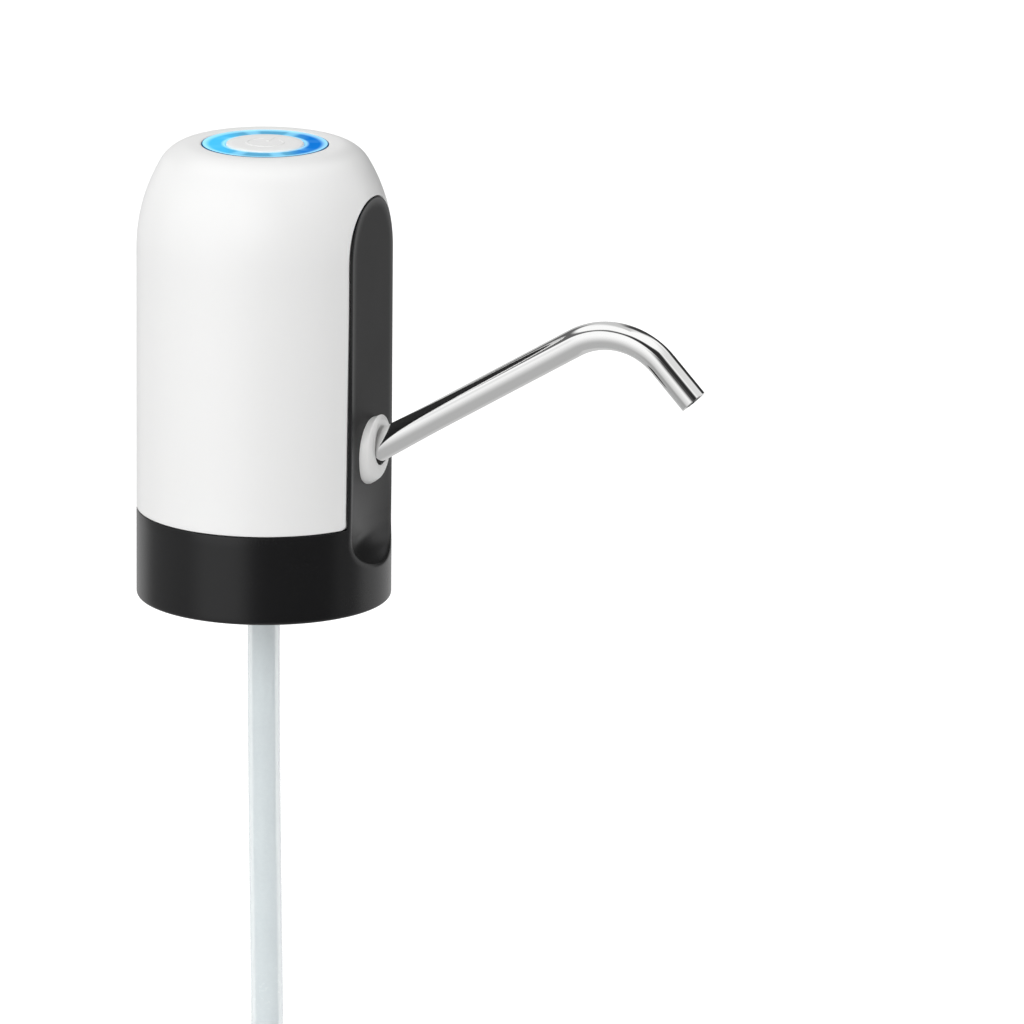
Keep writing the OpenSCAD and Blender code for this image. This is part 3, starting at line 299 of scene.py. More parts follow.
def lit_ring(name):
    """Clear blue plastic lit from below, with painted light lighter on the left and darker on the right,
    painted highlight spots near and far, painted highlights on its edges and a painted shadow at its rim.
    """
    mat = new_material(name, RING_PLAIN, 0.2, IOR=1.5, Specular_IOR_Level=0.0)
    tree, shader = graph_of(mat)
    coords = object_coords(tree)
    along = add_node(tree, "VectorMath", {0: coords, 1: CAM_RIGHT}, operation="DOT_PRODUCT").outputs["Value"]
    split = add_node(tree, "SeparateXYZ", {0: coords})
    flat = add_node(tree, "CombineXYZ", {0: split.outputs[0], 1: split.outputs[1]}).outputs[0]
    radius = add_node(tree, "VectorMath", {0: flat}, operation="LENGTH").outputs["Value"]

    def ramp(value, low, high, to_low=0.0, to_high=1.0):
        return map_range(tree, value, low * MM, high * MM, to_low, to_high, smooth=True)

    swirl = noise_at(tree, coords, 6.0)
    stray = times(tree, math_node(tree, "SUBTRACT", swirl, 0.5), 6 * MM)
    side = math_node(tree, "ADD", along, stray)
    # Painted light: lighter on the left and darker on the right, along the camera's right
    body = mix_colour(tree, ramp(side, -15, -5), RING_LIT_LEFT, RING_MIDDLE)
    body = mix_colour(tree, ramp(side, 6, 14), body, RING_SHADED_RIGHT)
    # Painted highlights: bright spots round the ring, full near and far and faint at the sides
    turn = math_node(tree, "ADD", math_node(tree, "ARCTAN2", split.outputs[1], split.outputs[0]), HIGHLIGHT_TURN)
    painted_highlights = math_node(tree, "COSINE", times(tree, turn, HIGHLIGHT_COUNT))
    painted_highlights = map_range(tree, painted_highlights, 0.1, 1.0, 0.0, HIGHLIGHT_SHARE, smooth=True)
    painted_highlights = times(tree, painted_highlights, ramp(math_node(tree, "ABSOLUTE", along), 8, 14, 1.0, 0.12))
    body = mix_colour(tree, painted_highlights, body, RING_HIGHLIGHT)
    # Painted highlights along the lens's outer and inner edges
    edge = math_node(tree, "MAXIMUM", ramp(radius, *HIGHLIGHT_OUTSIDE_EDGE), ramp(radius, *HIGHLIGHT_INSIDE_EDGE))
    glow = mix_colour(tree, times(tree, edge, EDGE_HIGHLIGHT_SHARE), body, RING_EDGE_HIGHLIGHT)
    # Painted shadow: a dark line at the outer rim, where the gap to the shell lies in shade
    glow = mix_colour(tree, ramp(radius, *RIM_SHADOW_RADII), glow, RING_RIM_SHADOW)
    tree.links.new(glow, shader.inputs["Base Color"])
    tree.links.new(glow, shader.inputs["Emission Color"])
    shader.inputs["Emission Strength"].default_value = RING_GLOW
    add_bump(tree, shader, swirl, 0.12, 0.2)
    return mat


def clear_hose(name):
    """Soft translucent silicone, thin enough to see its bore."""
    colour, rough = (0.80, 0.87, 0.89), 0.24
    mat = new_material(name, colour, rough, IOR=1.41, Alpha=0.42)
    return finish_surface(mat, colour, rough, 1.2, tint=0.03, bump=0.03)


def moulded_black(name):
    """Black moulding with a gloss band that turns matte in the recess, by the mask stored on the mesh."""
    rough = 0.25
    mat = new_material(name, BLACK, rough, Specular_IOR_Level=0.42)
    finish_surface(mat, BLACK, rough, 0.35, tint=0.10, wear=0.03, bump=0.10, depth=0.012, cloud=30)
    tree, shader = graph_of(mat)
    socket = shader.inputs["Roughness"]
    fine = socket.links[0].from_socket
    mask = add_node(tree, "Attribute", attribute_name="matte").outputs["Fac"]
    tree.links.new(math_node(tree, "ADD", fine, times(tree, mask, MATTE_ROUGH)), socket)
    return mat


def circuit(name):
    """Board lacquer with faint square traces."""
    colour, rough = (0.015, 0.16, 0.055), 0.35
    mat = new_material(name, colour, rough)
    finish_surface(mat, colour, rough, 0.6, tint=0.12, wear=0.06, bump=0.05)
    tree, shader = graph_of(mat)
    base = shader.inputs["Base Color"].links[0].from_socket
    inputs = {"Vector": object_coords(tree), "Scale": 420.0, "Randomness": 0.35}
    cells = add_node(tree, "TexVoronoi", inputs, distance="MANHATTAN", feature="F1")
    steps = times(tree, cells.outputs["Distance"], 3.0)
    trace = map_range(tree, math_node(tree, "FRACT", steps), 0.42, 0.5)
    traced = mix_colour(tree, times(tree, trace, 0.35), base, (0.05, 0.30, 0.12))
    tree.links.new(traced, shader.inputs["Base Color"])
    return mat


def wound(name):
    """Enamelled copper wire laid in turns."""
    colour, rough = (0.55, 0.20, 0.06), 0.28
    mat = new_material(name, colour, rough, 1.0)
    finish_surface(mat, colour, rough, 0.5, tint=0.10, wear=0.08, bump=0.0)
    tree, shader = graph_of(mat)
    inputs = {"Vector": object_coords(tree), "Scale": 520.0, "Distortion": 0.2}
    turns = add_node(tree, "TexWave", inputs, bands_direction="Z").outputs["Fac"]
    add_bump(tree, shader, turns, 0.6, 0.12)
    return mat


MATS = {
    "shell": plain("white_abs", WHITE, 0.30, 0.9, tint=0.006, wear=0.03, bump=0.025, cloud=40),
    "base": moulded_black("black_abs"),
    "button": plain("button_abs", (0.89, 0.89, 0.885), 0.32, 0.6, tint=0.008, wear=0.03, bump=0.03),
    "ring": lit_ring("lit_ring"),
    "grommet": plain("grommet_nylon", (0.88, 0.88, 0.87), 0.3, 0.5, tint=0.008, wear=0.03, bump=0.02,
                     sockets={"Specular_IOR_Level": 0.7}),
    "steel": steel_along("polished_steel", (0.91, 0.91, 0.905), 0.06),
    "hose": clear_hose("clear_silicone"),
    "screw": plain("zinc_screw", (0.62, 0.62, 0.60), 0.3, 0.25, metal=1.0, tint=0.05, bump=0.08),
    "silicone": plain("milky_silicone", (0.72, 0.72, 0.70), 0.5, 0.8, tint=0.02, bump=0.08,
                      sockets={"Subsurface_Weight": 0.15}),
    "nylon": plain("natural_nylon", (0.70, 0.70, 0.67), 0.42, 0.5, tint=0.02, bump=0.08),
    "rubber": plain("black_rubber", (0.02, 0.02, 0.02), 0.7, 0.3, tint=0.15, bump=0.15),
    "board": circuit("green_board"),
    "chip": plain("black_resin", (0.02, 0.02, 0.022), 0.5, 0.2, tint=0.1, bump=0.12),
    "lamp": plain("lamp_lens", (0.75, 0.85, 0.95), 0.2, 0.4),
    "red": plain("red_plastic", (0.45, 0.05, 0.04), 0.45, 0.5),
    "cell": plain("cell_wrap", (0.05, 0.17, 0.45), 0.33, 0.6, tint=0.05, bump=0.05),
    "nickel": plain("nickel_strip", (0.60, 0.58, 0.54), 0.28, 0.3, metal=1.0, stretch=(1, 0.05, 1)),
    "can": plain("plated_steel", (0.55, 0.56, 0.57), 0.26, 0.3, metal=1.0, stretch=(1, 1, 0.1)),
    "magnet": plain("ferrite", (0.05, 0.05, 0.055), 0.6, 0.3, tint=0.1, bump=0.2),
    "brass": plain("brass", (0.62, 0.42, 0.14), 0.3, 0.3, metal=1.0),
    "bronze": plain("sintered_bronze", (0.45, 0.28, 0.13), 0.45, 0.2, metal=1.0, bump=0.25),
    "laminate": plain("core_laminate", (0.38, 0.38, 0.39), 0.4, 0.25, metal=1.0, stretch=(0.05, 0.05, 1),
                      bump=0.3),
    "copper": wound("wound_copper"),
    "graphite": plain("graphite", (0.03, 0.03, 0.032), 0.5, 0.2, metal=0.3, bump=0.2),
    "dark_lead": plain("dark_lead", (0.02, 0.02, 0.02), 0.45, 0.4),
    "red_lead": plain("red_lead", (0.40, 0.03, 0.03), 0.42, 0.4),
}

# Finish of each solid that is kept
CAD_FINISH = {
    "screw": "housing_screws board_screws charge_board_screws frame_screws motor_screws pump_screws "
             "socket_screws motor_shaft eccentric_pin",
    "silicone": "neck_seal neck_grip_ring diaphragm outlet_elbow",
    "nylon": "hose_nipple inner_frame motor_end_cap eccentric_hub wobble_plate pump_bracket valve_plate "
             "pump_cover spout_socket",
    "rubber": "spout_plug motor_sleeve inlet_valves outlet_valve nipple_seal spout_seals",
    "board": "control_board charge_board",
    "chip": "board_parts tact_switch",
    "lamp": "board_lamps",
    "red": "switch_plunger",
    "cell": "battery_cell",
    "nickel": "battery_tabs charge_socket",
    "can": "motor_can",
    "magnet": "motor_magnets",
    "brass": "motor_terminals commutator",
    "bronze": "motor_bushes",
    "laminate": "armature_core",
    "copper": "armature_coils",
    "graphite": "motor_brushes",
    "red_lead": "motor_leads battery_leads",
    "dark_lead": "charge_leads",
}


def coat(obj, finish):
    obj.data.materials.clear()
    obj.data.materials.append(MATS[finish])


for finish, names in CAD_FINISH.items():
    for name in names.split():
        coat(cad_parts[name], finish)


# Shape helpers

def root(x):
    return math.sqrt(max(0.0, x))


def share_of(x):
    return min(1.0, max(0.0, x))


def bridge(a, b, count, wrap=True):
    """Quads between two rows of points, given by the index of each row's first point."""
    return [
        (a + k, a + (k + 1) % count, b + (k + 1) % count, b + k) for k in range(count if wrap else count - 1)
    ]


def grid(rows, cols, wrap=True, start=0):
    """Quads of a grid of points stored row by row, joined round where wrap is set."""
    found = []
    for i in range(rows - 1):
        found += bridge(start + i * cols, start + (i + 1) * cols, cols, wrap)
    return found


def closed_grid(rows, cols):
    """Quads of a grid joined round both ways."""
    return grid(rows, cols) + bridge((rows - 1) * cols, 0, cols)


def around(count):
    """Angles of points evenly spaced round a circle."""
    return [TAU * k / count for k in range(count)]


def lathe(profile, count, quads=grid):
    """Points and faces of a profile of (radius, height) turned about the upright axis."""
    points = [(r * math.cos(a), r * math.sin(a), z) for r, z in profile for a in around(count)]
    return points, quads(len(profile), count)


def box_shape(low, high):
    """Points and faces of an upright box."""
    points = [(x, y, z) for x in (low[0], high[0]) for y in (low[1], high[1]) for z in (low[2], high[2])]
    return points, [(0, 1, 3, 2), (4, 6, 7, 5), (0, 4, 5, 1), (2, 3, 7, 6), (0, 2, 6, 4), (1, 5, 7, 3)]


def join(*shapes):
    """Several shapes as one."""
    points, faces = [], []
    for more, quads in shapes:
        faces += [tuple(i + len(points) for i in q) for q in quads]
        points += more
    return points, faces


def corner(centre, radius, start, end, steps):
    """Points of an arc, by angles in degrees."""
    found = []
    for i in range(steps + 1):
        a = math.radians(start + (end - start) * i / steps)
        found.append((centre[0] + radius * math.cos(a), centre[1] + radius * math.sin(a)))
    return found


def to_mesh(name, shape):
    """Mesh in metres of a shape in millimetres, with doubles merged and faces outward."""
    points, faces = shape
    mesh = bpy.data.meshes.new(name)
    mesh.from_pydata([(x * MM, y * MM, z * MM) for x, y, z in points], [], faces)
    bm = bmesh.new()
    bm.from_mesh(mesh)
    bmesh.ops.remove_doubles(bm, verts=bm.verts, dist=2e-6)
    bmesh.ops.dissolve_degenerate(bm, dist=1e-7, edges=bm.edges)
    bmesh.ops.recalc_face_normals(bm, faces=bm.faces)
    if bm.calc_volume(signed=True) < 0:
        bmesh.ops.reverse_faces(bm, faces=bm.faces)
    bm.to_mesh(mesh)
    bm.free()
    return mesh


def to_object(name, data):
    made = bpy.data.objects.new(name, data)
    scene.collection.objects.link(made)
    return made


def make_object(name, shape):
    return to_object(name, to_mesh(name, shape))


def cut(obj, *cutters):
    """Takes closed shapes out of an object's mesh."""
    for shape in cutters:
        tool = make_object("cutter", shape)
        step = obj.modifiers.new("cut", "BOOLEAN")
        step.operation = "DIFFERENCE"
        step.solver = "EXACT"
        step.object = tool
        bpy.context.view_layer.update()
        state = bpy.context.evaluated_depsgraph_get()
        done = bpy.data.meshes.new_from_object(obj.evaluated_get(state))
        obj.modifiers.clear()
        obj.data = done
        bpy.data.objects.remove(tool)


def add_shape(obj, shape):
    """Joins one more closed shape to an object's mesh."""
    bm = bmesh.new()
    bm.from_mesh(obj.data)
    bm.from_mesh(to_mesh("extra", shape))
    bm.to_mesh(obj.data)
    bm.free()


def dress(obj, finish, body, nodes=(), sharp=34):
    """Smooth shading, finish, body and the solids that a piece stands for."""
    obj.data.shade_smooth()
    obj.data.set_sharp_from_angle(angle=math.radians(sharp))
    coat(obj, finish)
    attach(obj, body)
    if nodes:
        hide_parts(*nodes)


def dome_radius(z):
    """Outside radius of the casing at a height on the wall or shoulder."""
    if z <= SHOULDER_Z:
        return BODY_R
    return SHOULDER_C[0] + math.sqrt(SHOULDER_R ** 2 - (z - SHOULDER_Z) ** 2)


def dome_height(radius):
    """Height at which the shoulder has narrowed to a radius."""
    return SHOULDER_Z + root(SHOULDER_R ** 2 - (radius - SHOULDER_C[0]) ** 2)


def lean(z):
    """How far the planes of the flat stand forward at a height: back at the band, forward at the arch."""
    if z < LEAN_FROM_Z:
        return -LEAN * (LEAN_FROM_Z - max(z, BAND_H)) / (LEAN_FROM_Z - BAND_H)
    return ARCH * (max(0.0, z - ARCH_FROM_Z) / (ARCH_Z - ARCH_FROM_Z)) ** 2


def window_x(z):
    return WINDOW_X + lean(z)


def flange_x(z):
    return FLANGE_X + lean(z)


def arch_radius(plane):
    """Radius of the casing at the point of an arch, where the leaning plane meets the shoulder."""
    radius = plane(SHOULDER_Z)
    for _ in range(40):
        radius = plane(dome_height(radius))
    return radius


# Hose, first of the pieces because it needs room below the view

def smooth_route(points, step):
    """A dense smooth line through the route's points."""
    line = []
    for i in range(len(points) - 1):
        a = points[max(i - 1, 0)]
        b, c = points[i], points[i + 1]
        d = points[min(i + 2, len(points) - 1)]
        count = max(2, round((Vector(c) - Vector(b)).length / step))
        for k in range(count):
            t = k / count
            line.append(tuple(
                0.5 * (2 * b[j] + (c[j] - a[j]) * t + (2 * a[j] - 5 * b[j] + 4 * c[j] - d[j]) * t * t
                       + (3 * b[j] - a[j] - 3 * c[j] + d[j]) * t ** 3)
                for j in range(3)
            ))
    return line + [tuple(points[-1])]


def swept_object(name, line, rings, count):
    """Closed tube along a line in the x-z plane, with its straightened coordinates stored on the mesh.

    Each ring is (index on the line, radius, push along the line).
    """
    points, lay, run = [], [], [0.0]
    for a, b in zip(line, line[1:]):
        run.append(run[-1] + (Vector(b) - Vector(a)).length)
    for i, radius, push in rings:
        ahead = Vector(line[min(i + 1, len(line) - 1)]) - Vector(line[max(i - 1, 0)])
        ahead.normalize()
        up = ahead.cross(ACROSS)
        centre = Vector(line[i]) + ahead * push
        for a in around(count):
            offset = ACROSS * math.cos(a) + up * math.sin(a)
            points.append(tuple(x * MM for x in centre + offset * radius))
            lay += [radius * math.cos(a) * MM, radius * math.sin(a) * MM, (run[i] + push) * MM]
    mesh = bpy.data.meshes.new(name)
    mesh.from_pydata(points, [], closed_grid(len(rings), count))
    mesh.attributes.new("lay", "FLOAT_VECTOR", "POINT").data.foreach_set("vector", lay)
    bm = bmesh.new()
    bm.from_mesh(mesh)
    bmesh.ops.recalc_face_normals(bm, faces=bm.faces)
    bm.to_mesh(mesh)
    bm.free()
    return to_object(name, mesh)


def tube_rings(count, outer, inner, lip):
    """Rings of a hollow tube: along the outside, round the far lip, back in the bore, round the near lip."""
    last = count - 1
    turn = [0.0, 0.3, 0.7, 1.0]
    mid, half = (outer + inner) / 2, (outer - inner) / 2
    rings = [(i, outer, 0.0) for i in range(1, last)]
    rings.append((last, outer, -1.5 * lip))
    rings += [(last, mid + half * math.cos(t * math.pi), lip * (math.sin(t * math.pi) - 1)) for t in turn]
    rings.append((last, inner, -1.5 * lip))
    rings += [(i, inner, 0.0) for i in range(last - 1, 0, -1)]
    rings.append((0, inner, 1.5 * lip))
    rings += [(0, mid - half * math.cos(t * math.pi), lip * (1 - math.sin(t * math.pi))) for t in turn]
    rings.append((0, outer, 1.5 * lip))
    return rings


HOSE_STEP = 6.0
HOSE_LIP = 0.5
HOSE_SIDES = 40


def make_hose():
    line = smooth_route(HOSE_ROUTE, HOSE_STEP)
    rings = tube_rings(len(line), HOSE_R, HOSE_BORE, HOSE_LIP)
    hose = swept_object("suction_hose_soft", line, rings, HOSE_SIDES)
    dress(hose, "hose", "housing", ["suction_hose"])


make_hose()


# White shell

# Columns by their distance from the window's edge, then round the back, and rows by height
EDGE_STEPS = [0.0, 0.25, 0.6, 1.0, 1.5, 2.1, 2.9, 4.0, 5.5]
SHELL_SIDE = 46
FOOT_ROWS = (0.45, 0.9, 1.4, 2, 2.8, 3.8, 5, 6.2, 7.4, 8.6, 10, 12, 15)
WALL_ROWS = (48, 56, 64, 72, 80, 88, 95, 101, 105.5)
ARCH_ROWS = 40
SHOULDER_ROWS = 5
CROWN_ROWS = 14
CORNER_R = 2.5
EDGE_IN = 0.3
RING_HOLE_R = 19.38

# Lip of the ring hole: radius, drop below the top, and the normal's two parts
HOLE_LIP = [
    (21.0, 0.0, 0.0, 1.0), (20.2, 0.0, 0.0, 1.0), (19.7, 0.02, -0.3, 0.95), (19.45, 0.16, -0.8, 0.6),
    (RING_HOLE_R, 0.4, -1.0, 0.0),
]
HOLE_STEP = 0.4

# Slot of the charging port
CHARGE_Z = 34.25
CHARGE_W = 9.5
CHARGE_H = 3.9
CHARGE_X = (-44, -30)


def arc_rows(centre, radius, start, end, steps):
    """Rows of an arc after its first point, each with its normal."""
    found = []
    for i in range(1, steps + 1):
        a = start + (end - start) * i / steps
        across, up = math.cos(a), math.sin(a)
        found.append((centre[0] + radius * across, centre[1] + radius * up, across, up))
    return found


def shell_rows():
    """Outside rows from the bottom to the ring hole: radius, height, and the normal's parts along these."""
    rows = [(BODY_R - 0.45, SHELL_Z, 0.2, -1.0), (BODY_R - 0.14, SHELL_Z + 0.12, 0.7, -0.7)]
    rows += [(BODY_R, SHELL_Z + h, 1.0, 0.0) for h in FOOT_ROWS]
    rows += [(BODY_R, z, 1.0, 0.0) for z in WALL_ROWS]
    point = arch_radius(window_x)
    half = math.sqrt(BODY_R ** 2 - point ** 2)
    for i in range(ARCH_ROWS + 1):
        y = half * math.cos(math.pi / 2 * i / ARCH_ROWS)
        radius = math.sqrt(point ** 2 + y * y)
        z = dome_height(radius)
        a = math.atan2(z - SHOULDER_C[1], radius - SHOULDER_C[0])
        rows.append((radius, z, math.cos(a), math.sin(a)))
    start = math.atan2(rows[-1][1] - SHOULDER_C[1], rows[-1][0] - SHOULDER_C[0])
    rows += arc_rows(SHOULDER_C, SHOULDER_R, start, TANGENT, SHOULDER_ROWS)
    rows += arc_rows(CROWN_C, CROWN_R, TANGENT, math.pi / 2, CROWN_ROWS)
    rows += [(r, BODY_H - drop, nr, nz) for r, drop, nr, nz in HOLE_LIP]
    return rows


def ring_angles(radius, half_open):
    """Angles of one shell row, from the window's edge round the back to its other edge."""
    first = math.asin(half_open / radius)
    near = [first + d / radius for d in EDGE_STEPS]
    half = near + [near[-1] + (math.pi - near[-1]) * k / SHELL_SIDE for k in range(1, SHELL_SIDE + 1)]
    return half + [TAU - a for a in reversed(half[:-1])]


def shell_shape():
    """Closed skin of the shell, with the edges of its window, foot and ring hole."""
    rows = shell_rows()
    point = arch_radius(window_x) + 1e-6
    lift = [CORNER_R - root(CORNER_R ** 2 - max(0.0, CORNER_R - d) ** 2) for d in EDGE_STEPS]
    outer, inner = [], []
    for index, (radius, z, nr, nz) in enumerate(rows):
        half_open = math.sqrt(radius ** 2 - window_x(z) ** 2) if radius > point else 0.0
        angles = ring_angles(radius, half_open)
        count = len(angles)
        fade = max(0.0, 1.0 - (z - SHELL_Z) / (4 * CORNER_R))
        sides = [min(k, count - 1 - k) for k in range(count)]
        lifts = [lift[d] * fade if d < len(lift) else 0.0 for d in sides]
        for a, d, up in zip(angles, sides, lifts):
            drop = EDGE_IN * (1.0, 0.35, 0.0)[min(d, 2)] if radius > point else 0.0
            r = radius - drop
            x = min(r * math.cos(a), window_x(z)) if d == 0 else r * math.cos(a)
            outer.append((x, r * math.sin(a), z + up))
        deep = SHELL_WALL / math.hypot(nr, nz)
        inside = (radius - deep * max(nr, 0.0), z - deep * max(nz, 0.0))
        if index < 2:
            inside = (BODY_R - SHELL_WALL, SHELL_Z + 0.02 * index)
        if index >= len(rows) - len(HOLE_LIP):
            inside = (RING_HOLE_R + (len(rows) - 1 - index) * HOLE_STEP, BODY_H - SHELL_WALL)
        half_in = max(0.8 * half_open, root(inside[0] ** 2 - window_x(z) ** 2))
        for a, up in zip(ring_angles(inside[0], half_in), lifts):
            inner.append((inside[0] * math.cos(a), inside[0] * math.sin(a), inside[1] + up))
    total = len(rows)
    points = outer + inner
    faces = grid(total, count, wrap=False) + grid(total, count, wrap=False, start=total * count)
    apex = max(i for i, row in enumerate(rows) if row[0] > point - 1e-5)
    base = total * count
    for i in range(apex):
        for k in (0, count - 1):
            a, b = i * count + k, (i + 1) * count + k
            faces.append((a, b, base + b, base + a))
    top = (total - 1) * count
    for k in range(count - 1):
        faces.append((k, k + 1, base + k + 1, base + k))
        faces.append((top + k, top + k + 1, base + top + k + 1, base + top + k))
    return points, faces


def slot_prism(width, height, x_low, x_high, z_mid, steps=10):
    """Closed flat slot with round ends, running along x."""
    ring = []
    for side in (1, -1):
        for i in range(steps + 1):
            a = math.pi * i / steps - math.pi / 2
            y = (width - height) / 2 + height / 2 * math.cos(a)
            ring.append((side * y, side * height / 2 * math.sin(a)))
    points = [(x, y, z_mid + z) for x in (x_low, x_high) for y, z in ring]
    n = len(ring)
    faces = grid(2, n) + [tuple(range(n)), tuple(range(n, 2 * n))]
    return points, faces


shell = make_object("shell_dome_skin", shell_shape())
cut(shell, slot_prism(CHARGE_W, CHARGE_H, *CHARGE_X, CHARGE_Z))
dress(shell, "shell", "housing", ["shell_dome"], sharp=28)


# Dark base with its spine

# Columns of the round strip, the rounded edge, the face and the back, and rows of the base
STRIP = 10
EDGE = 7
FACE = 30
BACK = 108
BAND_ROWS = (2.5, 4.5, 6.5, 8.5, 10.5, 12, 12.6, 13, 13.3, 13.6, 13.8)
SCOOP_ROWS = 24
SPINE_ROWS = (BAND_H, 33, 40, 47, 54, 61, 68, 75, 82, 89, 96, 102, 106)
SPINE_ARCH_ROWS = 36
SPINE_TIP_ROWS = 8

# Rounding of the recess edge, crisp above and soft below, and the half width at which the scoop runs out
FIRM_EDGE = 0.16
SOFT_EDGE = 1.3
SOFT_FROM_Z = 64.0
SOFT_TO_Z = 16.0
RUNOUT_HALF = 4.0

# Inside of the base by (radius, height), after the ledge that the shell stands on
BASE_INSIDE = [
    # Lip for the shell
    (36.65, BAND_H), (36.65, 31.3), (36.45, 31.5), (35.05, 31.5), (35.05, BAND_H),
    # Deck with its hose hole
    (20, BAND_H), (4.25, BAND_H), (4.25, 24.5), (20, 24.5),
    # Neck socket with the groove of its grip ring
    (28, 24.5), (28, 12), (29, 12), (29, 7), (28, 7), (28, 1.3), (28.3, 1.0), (29.7, 1.0), (30, 1.3),
    (30, 24.5),
    # Band wall
    (36.6, 24.5), (36.6, 0.3), (36.9, 0.0),
]

# Rounding of the base's foot, ribs round its socket, and the rod that cuts the spout's hole
FOOT_R = 1.2
RIBS = 16
RIB_IN_R = 29.5
RIB_OUT_R = 37.2
RIB_HALF = 0.7
RIB_LOW = 5
RIB_HIGH = 24.8
HOLE_SPARE = 0.05
HOLE_REACH = 12

# Depths inside the round outline at which the matte recess starts and is full
MATTE_CLEAR = 0.05
MATTE_FULL = 1.2


def recess_x(z):
    """Depth of the recess at a height: flat face, then the scoop that runs out."""
    face = max(FACE_X - FACE_DROP + FACE_LEAN * min(0.0, lean(z)), flange_x(z) + FACE_STEP)
    drop = max(0.0, SCOOP_Z - z)
    return face + SCOOP_R - math.sqrt(SCOOP_R ** 2 - drop * drop) if drop < SCOOP_R else face + SCOOP_R


def soft_min(a, b, width):
    """The smaller of two depths, blended where they lie within a width of each other."""
    share = share_of(0.5 + 0.5 * (b - a) / width)
    return b + (a - b) * share - width * share * (1 - share)


def edge_softness(z):
    """How far the recess edge is rounded: crisp at the top and soft in the scoop."""
    low = share_of((SOFT_FROM_Z - z) / (SOFT_FROM_Z - SOFT_TO_Z))
    return FIRM_EDGE + (SOFT_EDGE - FIRM_EDGE) * low ** 4


def dish(z):
    """How far the middle of the recess is hollowed at a height."""
    share = share_of((DISH_FROM_Z - z) / (DISH_FROM_Z - DISH_FULL_Z))
    deeper = 1 + SCOOP_DEEPER * max(0.0, SCOOP_Z - z)
    return DISH * share * share * (3 - 2 * share) * deeper


def front_outline(radius, z):
    """Points across the front from one flange edge to the other: round strip, rounded edge, recess."""
    depth, soft = recess_x(z), edge_softness(z)
    limit = root(radius ** 2 - flange_x(z) ** 2)
    edge = root(radius ** 2 - depth ** 2) if depth < radius else 0.0
    mark = max(edge, RUNOUT_HALF) if z < SCOOP_Z else edge
    reach = min(soft / 0.43, 0.48 * max(0.0, limit - mark), 0.48 * mark)
    across = [limit + (mark + reach - limit) * k / STRIP for k in range(STRIP)]
    across += [mark + reach - 2 * reach * k / EDGE for k in range(EDGE)]
    inner = mark - reach
    across += [inner - inner * 2 * k / FACE for k in range(FACE // 2)]
    across += [0.0] + [-y for y in reversed(across)]
    hollow = dish(z) / DISH_HALF ** 2
    line = []
    for y in across:
        face = depth - hollow * max(0.0, edge * edge - y * y)
        line.append((soft_min(face, root(radius ** 2 - y * y), soft), y))
    line[0], line[-1] = (flange_x(z), limit), (flange_x(z), -limit)
    return line


